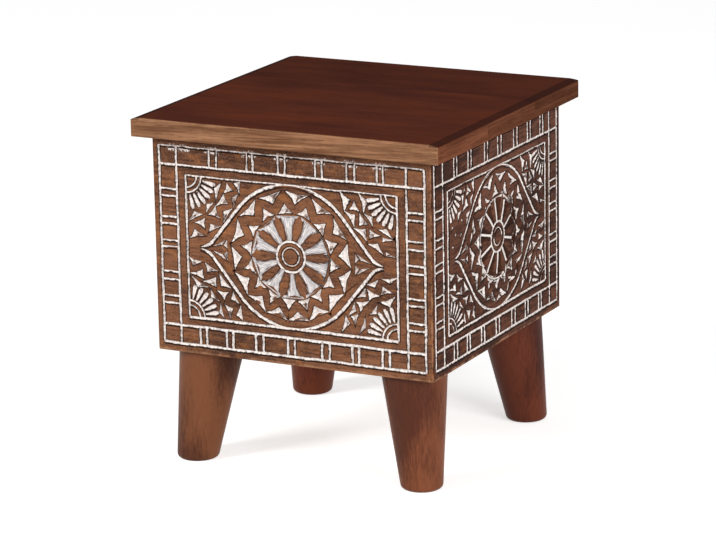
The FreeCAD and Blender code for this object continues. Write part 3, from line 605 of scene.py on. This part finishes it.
def carve_corners(chisel, sizes, panel, slim):
    """A sunburst and a scatter of chips in each corner of the inner frame."""
    depth = sizes.chip_depth / MM
    for (side, level), chips in SPANDREL_CHIPS.items():
        specks = SPECKS.get((panel, side, level), ())
        u0, v0 = INNER_FRAME[side], INNER_FRAME[level]
        su, sv = (1, -1)[side], (1, -1)[level - 2]
        arc_half, arc_depth = SUN_ARC
        for radius in SUN_ARCS:
            arc = [polar((0, 0), radius, 90 * i / 8) for i in range(9)]
            stations = [(u0 + su * u, v0 + sv * v, arc_half * slim, arc_depth) for u, v in arc]
            chisel.groove("suns", stations, lip=SUN_LIP)
        for degrees in SUN_RAYS:
            stations = []
            for radius, half, deep in SUN_RAY:
                u, v = polar((0, 0), radius, degrees)
                stations.append((u0 + su * u, v0 + sv * v, half * slim, deep))
            chisel.groove("suns", stations, lip=RAY_LIP)
        for i, corners in enumerate(chips):
            places = [(u0 + su * u, v0 + sv * v) for u, v in corners]
            grow = HEMMED_GROW if i in HEMMED_CHIPS else CORNER_GROW
            if i in specks:
                grow = SPECK_GROW
            chisel.chip(("chips", "scraps")[i % 2], places, depth * CORNER_DEPTH, grow)


def carve_panel(panel, stain, washes):
    """One carved board in place of its plain node."""
    sizes = bpy.context.scene.table_carving
    quarter, seed = PANELS[panel]
    scant = panel in SCANT_PANELS
    chisel = Chisel(seed, sizes.wobble, LIP if scant else LINE_LIP)
    slim = SCANT_LINE if scant else 1.0
    carve_frames(chisel, sizes, panel, slim)
    carve_ogee(chisel, sizes, slim)
    carve_rosette(chisel, sizes, scant)
    carve_corners(chisel, sizes, panel, slim)
    node = f"{panel}_panel"
    board = new_piece(f"carved_{node}", merged_copy(node), stain)
    cutters = list(chisel.cutters(quarter * math.pi / 2, *washes))
    for cutter in cutters:
        cut = board.modifiers.new(cutter.name, "BOOLEAN")
        cut.operation = "DIFFERENCE"
        cut.solver = "MANIFOLD"
        cut.material_mode = "TRANSFER"
        cut.object = cutter
    carved = bpy.data.meshes.new_from_object(board.evaluated_get(bpy.context.evaluated_depsgraph_get()))
    board.modifiers.clear()
    board.data = carved
    for cutter in cutters:
        bpy.data.meshes.remove(cutter.data)
    bm = bmesh.new()
    bm.from_mesh(carved)
    bmesh.ops.triangulate(bm, faces=bm.faces)
    bm.to_mesh(carved)
    bm.free()
    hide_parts(node)
    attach(board, "box")


# Materials


def toned(tone, colour):
    """A colour times a tone, channel by channel."""
    return tuple(share * part for share, part in zip(tone, colour))


class Graph:
    """Adds nodes to a tree, with values or sockets for their inputs."""

    def __init__(self, tree):
        self.tree = tree

    def feed(self, value, socket):
        """Links a socket, or sets a value, as an opaque one for a colour."""
        if isinstance(value, bpy.types.NodeSocket):
            self.tree.links.new(value, socket)
        else:
            socket.default_value = (*value, 1) if socket.type == "RGBA" else value

    def add(self, kind, inputs=None, **settings):
        """The outputs of a new node."""
        node = self.tree.nodes.new(kind)
        for name, value in settings.items():
            setattr(node, name, value)
        for name, value in (inputs or {}).items():
            self.feed(value, node.inputs[name])
        return node.outputs

    def calc(self, operation, first, second=0.0):
        """A sum on numbers."""
        return self.add("ShaderNodeMath", {0: first, 1: second}, operation=operation)[0]

    plus = partialmethod(calc, "ADD")
    less = partialmethod(calc, "SUBTRACT")
    times = partialmethod(calc, "MULTIPLY")
    most = partialmethod(calc, "MAXIMUM")
    least = partialmethod(calc, "MINIMUM")
    size = partialmethod(calc, "ABSOLUTE")

    def swing(self, value, weight):
        """Noise about its middle, weighted."""
        return self.times(self.less(value, 0.5), weight)

    def fade(self, value, low, high, to_low=0.0, to_high=1.0):
        """A smooth step between two limits."""
        inputs = {"Value": value, "From Min": low, "From Max": high, "To Min": to_low, "To Max": to_high}
        return self.add("ShaderNodeMapRange", inputs, interpolation_type="SMOOTHSTEP")["Result"]

    def mix(self, share, first, second, mode="MIX"):
        """One colour over another."""
        inputs = {0: share, 6: first, 7: second}
        return self.add("ShaderNodeMix", inputs, data_type="RGBA", blend_type=mode)[2]

    def noise(self, vector, scales, detail=4.0, roughness=0.55, distortion=0.0):
        """Cloudy noise, stretched along the three axes by different scales."""
        scaled = self.add("ShaderNodeVectorMath", {0: vector, 1: scales}, operation="MULTIPLY")[0]
        inputs = {"Scale": 1.0, "Detail": detail, "Roughness": roughness, "Distortion": distortion}
        return self.add("ShaderNodeTexNoise", {"Vector": scaled, **inputs})["Fac"]

    def backdrop(self):
        """1 for what the camera sees straight, in a reflection or through glass."""
        path = self.add("ShaderNodeLightPath")
        seen = self.most(path["Is Camera Ray"], path["Is Glossy Ray"])
        return self.most(seen, path["Is Transmission Ray"])


def fill_grain(graph, given):
    """Wood with its grain along X: streaks, broad figure, clouds, flecks and pores."""
    place = given["Position"]
    layers = {label: graph.noise(place, *texture) for label, (*texture, _) in GRAIN.items()}
    tone = 0.5
    for label, layer in layers.items():
        tone = graph.plus(tone, graph.swing(layer, graph.times(given[label], GRAIN[label][-1])))
    tone = graph.fade(tone, 0.0, 1.0)
    pore = graph.fade(graph.noise(place, *PORES), 0.58, 0.70)
    colour = graph.mix(tone, given["Dark"], given["Light"])
    deep = graph.mix(1.0, colour, PORE_TINT, "MULTIPLY")
    return {
        "Color": graph.mix(graph.times(pore, given["Pores"]), colour, deep),
        "Roughness": graph.fade(tone, 0.0, 1.0, 0.58, 0.42),
        "Height": graph.less(graph.times(layers["Streaks"], 0.5), graph.times(pore, 0.6)),
    }


def fill_wash(graph, given):
    """Limewash that is thick in the bottom of a cut and rubbed off towards the lip, in patches and flecks."""
    patches = graph.noise(given["Position"], *WASH_PATCHES)
    flecks = graph.noise(given["Position"], *WASH_FLECKS)
    uneven = graph.plus(patches, graph.times(flecks, 0.4))
    lift = graph.times(graph.less(uneven, 0.70), 0.8 * MM)
    cover = graph.fade(graph.plus(given["Depth"], lift), *WASH_DEPTHS)
    rubbed = graph.plus(uneven, graph.times(given["Depth"], 0.1 / MM))
    return {
        "Cover": graph.times(cover, graph.fade(rubbed, 0.59, 0.73)),
        "Tone": graph.fade(uneven, 0.55, 0.85),
        "Height": uneven,
    }


def fill_wear(graph, given):
    """Breaks up a mask that is 1 on an arris."""
    patches = graph.noise(given["Position"], *WEAR_PATCHES)
    reach = graph.plus(given["Edge"], graph.swing(patches, 2.2))
    return {"Mask": graph.fade(reach, 0.75, 1.15)}


EFFECTS = {  # inputs beside the position, outputs, and what fills each shared node group
    "stained_grain": (
        {"Light": "Color", "Dark": "Color", **dict.fromkeys(PLAIN_GRAIN, "Float")},
        {"Color": "Color", "Roughness": "Float", "Height": "Float"},
        fill_grain,
    ),
    "limewash_in_cuts": ({"Depth": "Float"}, dict.fromkeys(("Cover", "Tone", "Height"), "Float"), fill_wash),
    "worn_arris": ({"Edge": "Float"}, {"Mask": "Float"}, fill_wear),
}


def shared_group(name):
    """The node group of a shared effect, built at its first use."""
    if name not in bpy.data.node_groups:
        group = bpy.data.node_groups.new(name, "ShaderNodeTree")
        inputs, outputs, fill = EFFECTS[name]
        for in_out, sockets in (("INPUT", {"Position": "Vector", **inputs}), ("OUTPUT", outputs)):
            for label, kind in sockets.items():
                group.interface.new_socket(label, in_out=in_out, socket_type=f"NodeSocket{kind}")
        given = group.nodes.new("NodeGroupInput").outputs
        put = group.nodes.new("NodeGroupOutput").inputs
        for label, socket in fill(Graph(group), given).items():
            group.links.new(socket, put[label])
    return bpy.data.node_groups[name]


class Board:
    """The stain of one piece of wood and how its grain lies."""

    def __init__(self, wood, tone=(1, 1, 1), turn=ALONG_X, shift=(0, 0, 0), **amounts):
        colours = bpy.context.scene.table_finish
        self.light, self.dark = (toned(tone, getattr(colours, f"{wood}_{end}")) for end in ("light", "dark"))
        self.turn = turn
        self.shift = shift
        self.amounts = {**PLAIN_GRAIN, **amounts}


class Finish(Graph):
    """A material with one shader and the place of each point in metres."""

    def __init__(self, name):
        self.material = bpy.data.materials.new(name)
        self.material.use_nodes = True
        super().__init__(self.material.node_tree)
        self.tree.nodes.clear()
        shader = self.tree.nodes.new("ShaderNodeBsdfPrincipled")
        self.add("ShaderNodeOutputMaterial", {"Surface": shader.outputs["BSDF"]})
        self.shader = shader.inputs
        self.place = self.add("ShaderNodeTexCoord")["Object"]

    def axes(self):
        """The place along each axis."""
        return self.add("ShaderNodeSeparateXYZ", {"Vector": self.place})

    def bump(self, height, distance, strength):
        """A normal from a height."""
        inputs = {"Height": height, "Distance": distance, "Strength": strength}
        return self.add("ShaderNodeBump", inputs)["Normal"]

    def effect(self, name, position, inputs):
        """The outputs of a shared effect."""
        return self.add("ShaderNodeGroup", {"Position": position, **inputs}, node_tree=shared_group(name))

    def grained(self, board):
        """The grain of one board, turned so that it runs along it."""
        inputs = {"Vector": self.place, "Rotation": board.turn, "Location": board.shift}
        mapped = self.add("ShaderNodeMapping", inputs)["Vector"]
        return self.effect("stained_grain", mapped, {"Light": board.light, "Dark": board.dark, **board.amounts})

    def worn(self, edge):
        """The broken mask of an arris."""
        return self.effect("worn_arris", self.place, {"Edge": edge})["Mask"]

    def limewashed(self):
        """How far a point lies below the carved face, and the limewash there."""
        x, y, _ = self.axes()
        depth = self.less(FACE, self.most(self.size(x), self.size(y)))
        return depth, self.effect("limewash_in_cuts", self.place, {"Depth": depth})

    def shade(self, inputs):
        """Feeds the shader."""
        for name, value in inputs.items():
            self.feed(value, self.shader[name])
        return self.material

    def polished(self, colour, grain, sheen):
        """The material as wood of a colour, with the grain's roughness and bump."""
        normal = self.bump(grain["Height"], 0.12 * MM, 0.6)
        coating = dict(zip(("Coat Weight", "Coat Roughness", "Specular IOR Level"), sheen))
        return self.shade({"Base Color": colour, "Roughness": grain["Roughness"], "Normal": normal, **coating})

    def chalky(self, colour, wash):
        """The material as dull, uneven limewash."""
        normal = self.bump(wash["Height"], 0.2 * MM, 0.7)
        dull = {"Roughness": 0.85, "Specular IOR Level": 0.1}
        return self.shade({"Base Color": colour, "Normal": normal, **dull})


def plain_wood(name, board, sheen=BARE_SHEEN):
    """Wood with nothing but its grain."""
    wood = Finish(name)
    grain = wood.grained(board)
    return wood.polished(grain["Color"], grain, sheen)


def panel_stain(name, board, honey, worn, white, smears, haze):
    """Stained panel: honey where it's thin, worn at the corners and the foot, with limewash on the face."""
    wood = Finish(name)
    grain = wood.grained(board)
    x, y, height = wood.axes()
    across, deep = wood.size(x), wood.size(y)
    corner = wood.fade(wood.least(across, deep), FACE - 3.0 * MM, FACE - 0.8 * MM)
    foot = wood.fade(height, FOOT_Z + 8.0 * MM, FOOT_Z + 0.5 * MM)
    rubbed = wood.worn(wood.most(corner, foot))
    thin = wood.fade(wood.noise(wood.place, *HONEY_PATCHES), 0.50, 0.72, 0.0, 0.6)
    colour = wood.mix(thin, grain["Color"], honey)
    colour = wood.mix(wood.times(rubbed, 0.75), colour, worn)
    speck = wood.noise(wood.place, *FACE_SPECKS)
    if smears:
        top_line = FOOT_Z + OUTER_FRAME[3] * MM
        away = wood.size(wood.less(height, top_line - 1.5 * MM))
        smear = 0.0
        for middle, half in SMEARS:
            aside = wood.size(wood.less(x, middle * MM - FACE))
            smear = wood.most(smear, wood.fade(aside, half * MM, 0.4 * half * MM))
        smear = wood.times(smear, wood.fade(away, 6.0 * MM, 1.5 * MM, 0.0, 0.27))
        speck = wood.plus(speck, smear)
    outer = wood.fade(wood.most(across, deep), FACE - 0.3 * MM, FACE - 0.1 * MM)
    mist = wood.fade(wood.noise(wood.place, *FACE_MIST), 0.48, 0.70, 0.0, haze)
    left = wood.most(wood.fade(speck, 0.68, 0.78, 0.0, 0.75), mist)
    colour = wood.mix(wood.times(left, outer), colour, white)
    return wood.polished(colour, grain, PANEL_SHEEN)


def washed_cut(name, board, white, thin, scant):
    """The wood in a cut: darkened with painted shade at the lip and white below it, or a veil where it's rubbed;
    lower down, where the limewash stops, the same painted shade.
    """
    cut = Finish(name)
    grain = cut.grained(board)
    depth, wash = cut.limewashed()
    # The lip: the grain darkened with painted shade, less where the limewash is rubbed thin
    lip = cut.mix(0.35 if thin else 0.88, grain["Color"], LIP_PAINTED_SHADE)
    paint = cut.mix(wash["Tone"], toned(DULL_WASH, white), white)
    cover = wash["Cover"]
    if thin:
        cover = cut.times(cover, cut.fade(wash["Height"], 0.55, 1.0, 0.0, 0.7))
    if scant:
        # Below SCANT_DEPTH the limewash stops and the cut takes the lip's painted shade
        low = cut.plus(depth, cut.swing(wash["Height"], 0.8 * MM))
        cover = cut.times(cover, cut.fade(low, (SCANT_DEPTH + 0.5) * MM, SCANT_DEPTH * MM))
    return cut.chalky(cut.mix(cover, lip, paint), wash)


def washed_petals(name, board, white, sideways, scant):
    """The hollows between petals: brown at the sides, darkened there with painted shade, and brushed to white along
    the middle or only lined there; a painted shadow darkens the rim on the far side.
    """
    cut = Finish(name)
    grain = cut.grained(board)
    depth, wash = cut.limewashed()
    x, y, height = cut.axes()
    along = y if sideways else x
    rise = cut.less(height, FOOT_Z + ROSETTE_MIDDLE[1] * MM)
    turn = cut.calc("ARCTAN2", rise, along)
    reach = cut.calc("SQRT", cut.plus(cut.times(rise, rise), cut.times(along, along)))
    brushed = cut.add("ShaderNodeCombineXYZ", {"X": reach, "Y": turn, "Z": 0.0})[0]
    streaks = cut.noise(brushed, *BRUSH_STREAKS)
    if scant:
        pitch = math.tau / bpy.context.scene.table_carving.petals
        spoke = cut.calc("DIVIDE", cut.less(turn, math.radians(ROSETTE_TURN)), pitch)
        aside = cut.size(cut.less(cut.calc("FRACT", spoke), 0.5))
        aside = cut.times(cut.times(aside, pitch), reach)
        aside = cut.plus(aside, cut.swing(wash["Height"], 1.6 * MM))
        cover = cut.fade(aside, 0.75 * SPOKE_WIDTH * MM, 0.45 * SPOKE_WIDTH * MM)
        side_shade = cut.fade(aside, 1.7 * SPOKE_WIDTH * MM, 0.8 * SPOKE_WIDTH * MM, 0.45, 0.95)
    else:
        thick = cut.plus(depth, cut.swing(streaks, 3.4 * MM))
        cover = cut.fade(thick, 0.35 * MM, 1.5 * MM)
        side_shade = 0.65
    # The white rim line round the petals: limewash, partly a painted highlight
    cover = cut.most(cover, cut.fade(reach, *RIM_WASH, 0.0, 0.85))
    # The sides of the hollows take painted shade, more of it beside the spokes where those are only lined
    lip = cut.mix(side_shade, grain["Color"], PETAL_PAINTED_SHADE)
    dull, clean = (toned(tint, white) for tint in (SPOKE_TINTS if scant else PETAL_TINTS))
    paint = cut.mix(cut.fade(streaks, 0.40, 0.68), dull, clean)
    colour = cut.mix(cover, lip, paint)
    # Painted shadow along the rim on the far side, away from the key light
    shadow_side = cut.fade(along, 20.0 * MM, 29.0 * MM)
    rim = cut.times(shadow_side, cut.fade(reach, *RIM_PAINTED_SHADOW))
    return cut.chalky(cut.mix(cut.times(rim, 0.9), colour, PETAL_PAINTED_SHADE), wash)


def lid_stain(name, board, edge_board, end_board):
    """Lid plank: dark on top, paler on the front and back edges, darker on the end bevels."""
    wood = Finish(name)
    grain = wood.grained(board)
    x, y, height = wood.axes()
    across, deep = wood.size(x), wood.size(y)
    low, high = (Vector(corner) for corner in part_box("lid_plank_front"))
    half_width, half_depth, top = high.x, -low.y, high.z
    edge = wood.fade(deep, half_depth - 2.2 * MM, half_depth - 0.6 * MM)
    colour = wood.mix(edge, grain["Color"], wood.grained(edge_board)["Color"])
    end = wood.fade(across, half_width - 0.9 * MM, half_width - 0.3 * MM)
    colour = wood.mix(end, colour, wood.grained(end_board)["Color"])
    bevel = wood.fade(across, half_width - 10.2 * MM, half_width - 9.4 * MM)
    bevel = wood.times(bevel, wood.fade(height, top - 2.4 * MM, top - 1.9 * MM))
    # Darkens the end bevels of the lid
    colour = wood.mix(wood.times(bevel, 0.6), colour, BEVEL_DARK)
    # The top arris of the front and back edges turns paler: worn, and partly a painted highlight
    arris = wood.fade(height, top - 2.6 * MM, top - 0.6 * MM)
    arris = wood.worn(wood.times(arris, edge))
    colour = wood.mix(wood.times(arris, 0.5), colour, edge_board.light)
    return wood.polished(colour, grain, LID_SHEEN)


def dull_metal(name, colour, roughness):
    """Handled metal with cloudy tarnish."""
    metal = Finish(name)
    cloud = metal.noise(metal.place, *TARNISH)
    fine = metal.noise(metal.place, *METAL_BRUSHING)
    dark = toned((0.45, 0.45, 0.45), colour)
    return metal.shade({
        "Base Color": metal.mix(metal.fade(cloud, 0.35, 0.65), dark, colour),
        "Roughness": metal.fade(cloud, 0.3, 0.7, roughness + 0.15, roughness),
        "Normal": metal.bump(fine, 0.03 * MM, 0.5),
        "Metallic": 1.0,
    })


def finish_node(node, material):
    """Puts a material on a node of the frame."""
    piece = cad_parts[node]
    if not piece.material_slots:
        piece.data.materials.append(material)
    for slot in piece.material_slots:
        slot.material = material


# Operators


class TABLE_OT_panels(bpy.types.Operator):
    """Carves the four panels"""

    bl_idname = "table.panels"
    bl_label = "Carved Panels"

    def execute(self, context):
        colours = context.scene.table_finish
        white = colours.limewash[:]
        for i, panel in enumerate(PANELS):
            aside = panel in SIDES
            scant = panel in SCANT_PANELS
            # The right panel's darker tone is partly stain, partly painted shade on the side away from the key
            # light
            tone = PANEL_TONES_AND_SHADE.get(panel, (1, 1, 1))
            shift = [part * i for part in PANEL_SHIFT]
            grain = PANEL_GRAINS.get(panel, EVEN_GRAIN)
            board = Board("panel", tone, ALONG_Y if aside else ALONG_X, shift, **grain)
            honey = toned(tone, colours.honey)
            haze = HAZES.get(panel, FACE_HAZE)
            stain = panel_stain(f"{panel}_stain", board, honey, colours.worn[:], white, not aside, haze)
            washes = (
                washed_cut(f"{panel}_limewash", board, white, False, scant),
                washed_petals(f"{panel}_petal_limewash", board, white, aside, scant),
                washed_cut(f"{panel}_rubbed_limewash", board, white, True, scant),
            )
            carve_panel(panel, stain, washes)
        return {"FINISHED"}


class TABLE_OT_lid(bpy.types.Operator):
    """Finishes the planks of the lid"""

    bl_idname = "table.lid"
    bl_label = "Lid"

    def execute(self, context):
        for i, (plank, (tone, sawn)) in enumerate(PLANK_TONES.items()):
            shift = [part * i for part in PLANK_SHIFT]
            top = Board("lid", (tone, tone, tone), ALONG_X, shift, **TOP_GRAIN)
            edge = Board("edge", turn=EDGE_TURN, shift=shift, **EDGE_GRAIN)
            end = Board("end", (sawn, sawn, sawn), ALONG_Y, shift, **END_GRAIN)
            finish_node(f"lid_plank_{plank}", lid_stain(f"lid_{plank}_stain", top, edge, end))
        return {"FINISHED"}


class TABLE_OT_legs(bpy.types.Operator):
    """Finishes the legs"""

    bl_idname = "table.legs"
    bl_label = "Legs"

    def execute(self, context):
        for i, corner in enumerate(CORNERS):
            shift = [part * i for part in LEG_SHIFT]
            board = Board("leg", LEG_TONES[corner], ALONG_Z, shift, **LEG_GRAIN)
            finish_node(f"leg_{corner}", plain_wood(f"leg_{corner}_stain", board, LEG_SHEEN))
        return {"FINISHED"}


class TABLE_OT_inside(bpy.types.Operator):
    """Finishes the unstained wood inside"""

    bl_idname = "table.inside"
    bl_label = "Inside"

    def execute(self, context):
        finish_node("base_board", plain_wood("base_bare", Board("bare")))
        upright = plain_wood("block_bare", Board("bare", turn=ALONG_Z, shift=(0.2, 0.1, 0.3)))
        across = plain_wood("batten_bare", Board("bare", turn=ALONG_Y, shift=(0.5, 0.4, 0.2)))
        for corner in CORNERS:
            finish_node(f"corner_block_{corner}", upright)
        for side in SIDES:
            finish_node(f"lid_batten_{side}", across)
        return {"FINISHED"}


class TABLE_OT_hardware(bpy.types.Operator):
    """Finishes the hinges, screws and bolts"""

    bl_idname = "table.hardware"
    bl_label = "Hardware"

    def execute(self, context):
        colours = context.scene.table_finish
        brass = dull_metal("hinge_brass", colours.brass[:], 0.32)
        zinc = dull_metal("zinc_plate", colours.zinc[:], 0.38)
        for side in SIDES:
            for part in ("box_leaf", "lid_leaf", "pin"):
                finish_node(f"hinge_{side}_{part}", brass)
        for node in ("hinge_box_screws", "hinge_lid_screws"):
            finish_node(node, brass)
        for node in ("base_screws", "leg_bolts", "leg_tee_nuts", "lid_batten_screws"):
            finish_node(node, zinc)
        return {"FINISHED"}


class TABLE_OT_stage(bpy.types.Operator):
    """Makes the floor, the lights and the camera"""

    bl_idname = "table.stage"
    bl_label = "Stage"

    def execute(self, context):
        stage = context.scene.table_stage
        make_floor()
        make_sky(context.scene, stage.sky)
        make_lamp("key", *KEY_LAMP, stage.key_power)
        make_lamp("fill", *FILL_LAMP, stage.fill_power)
        make_camera(context.scene, stage)
        return {"FINISHED"}


# Stage


def make_floor():
    """A pale floor that takes the table's shadow."""
    bm = bmesh.new()
    bmesh.ops.create_grid(bm, x_segments=1, y_segments=1, size=FLOOR_HALF)
    floor = Finish("pale_floor")
    cloud = floor.noise(floor.place, (1.5, 1.5, 1.5), 2.0)
    material = floor.shade({
        "Base Color": floor.mix(floor.fade(cloud, 0.3, 0.7), *FLOOR_TONES),
        "Roughness": 0.9,
        "Specular IOR Level": 0.1,
        "Emission Color": (1, 1, 1),
        "Emission Strength": floor.times(floor.backdrop(), FLOOR_GLOW),
    })
    new_piece("floor", bm, material)


def make_sky(scene, strength):
    """Even light from all round, white behind the table."""
    world = bpy.data.worlds.new("studio")
    world.use_nodes = True
    world.node_tree.nodes.clear()
    sky = Graph(world.node_tree)
    even, white = (
        sky.add("ShaderNodeBackground", {"Color": (1, 1, 1), "Strength": power})[0] for power in (strength, 1.0)
    )
    mixed = sky.add("ShaderNodeMixShader", {0: sky.backdrop(), 1: even, 2: white})[0]
    sky.add("ShaderNodeOutputWorld", {"Surface": mixed})
    scene.world = world


def make_lamp(name, place, size, power):
    """A square soft light that faces the middle of the table."""
    lamp = bpy.data.lights.new(name, "AREA")
    lamp.size = size
    lamp.energy = power
    holder = bpy.data.objects.new(name, lamp)
    holder.location = place
    holder.rotation_euler = (LAMP_AIM - Vector(place)).to_track_quat("-Z", "Y").to_euler()
    bpy.context.scene.collection.objects.link(holder)


def make_camera(scene, stage):
    """A long lens at the front right, a little above the lid."""
    flat_right = Vector((math.cos(stage.azimuth), math.sin(stage.azimuth), 0))
    level = Vector((-math.sin(stage.azimuth), math.cos(stage.azimuth), 0)) * math.cos(stage.elevation)
    forward = level - Vector((0, 0, math.sin(stage.elevation)))
    flat_up = flat_right.cross(forward)
    right = flat_right * math.cos(stage.roll) + flat_up * math.sin(stage.roll)
    up = right.cross(forward)
    camera = bpy.data.cameras.new("camera")
    camera.lens = stage.lens
    camera.sensor_width = 36.0
    camera.clip_start = 0.05
    holder = bpy.data.objects.new("camera", camera)
    turn = Matrix((right, up, -forward)).transposed()
    place = Vector(stage.aim) - forward * stage.distance
    holder.matrix_world = Matrix.Translation(place) @ turn.to_4x4()
    scene.collection.objects.link(holder)
    scene.camera = holder


# Add-on


class TABLE_PT_sidebar(bpy.types.Panel):
    """Lists the operators and the settings"""

    bl_idname = "TABLE_PT_sidebar"
    bl_label = "Side Table"
    bl_space_type = "VIEW_3D"
    bl_region_type = "UI"
    bl_category = "Side Table"

    def draw(self, context):
        for operator in OPERATORS:
            self.layout.operator(operator.bl_idname)
        for group in SETTINGS:
            settings = getattr(context.scene, group)
            for name in settings.bl_rna.properties.keys():
                if name not in ("rna_type", "name"):
                    self.layout.prop(settings, name)


SETTINGS = {"table_carving": TableCarving, "table_finish": TableFinish, "table_stage": TableStage}
OPERATORS = (
    TABLE_OT_panels,
    TABLE_OT_lid,
    TABLE_OT_legs,
    TABLE_OT_inside,
    TABLE_OT_hardware,
    TABLE_OT_stage,
)
CLASSES = (*SETTINGS.values(), *OPERATORS, TABLE_PT_sidebar)


def register():
    for item in CLASSES:
        bpy.utils.register_class(item)
    for name, group in SETTINGS.items():
        setattr(bpy.types.Scene, name, PointerProperty(type=group))


def unregister():
    for name in SETTINGS:
        delattr(bpy.types.Scene, name)
    for item in reversed(CLASSES):
        bpy.utils.unregister_class(item)


def main():
    """Makes every piece, the floor, the lights and the camera."""
    register()
    bpy.context.scene.view_settings.view_transform = "Standard"
    bpy.ops.table.panels()
    bpy.ops.table.lid()
    bpy.ops.table.legs()
    bpy.ops.table.inside()
    bpy.ops.table.hardware()
    bpy.ops.table.stage()


if __name__ == "__main__":
    main()
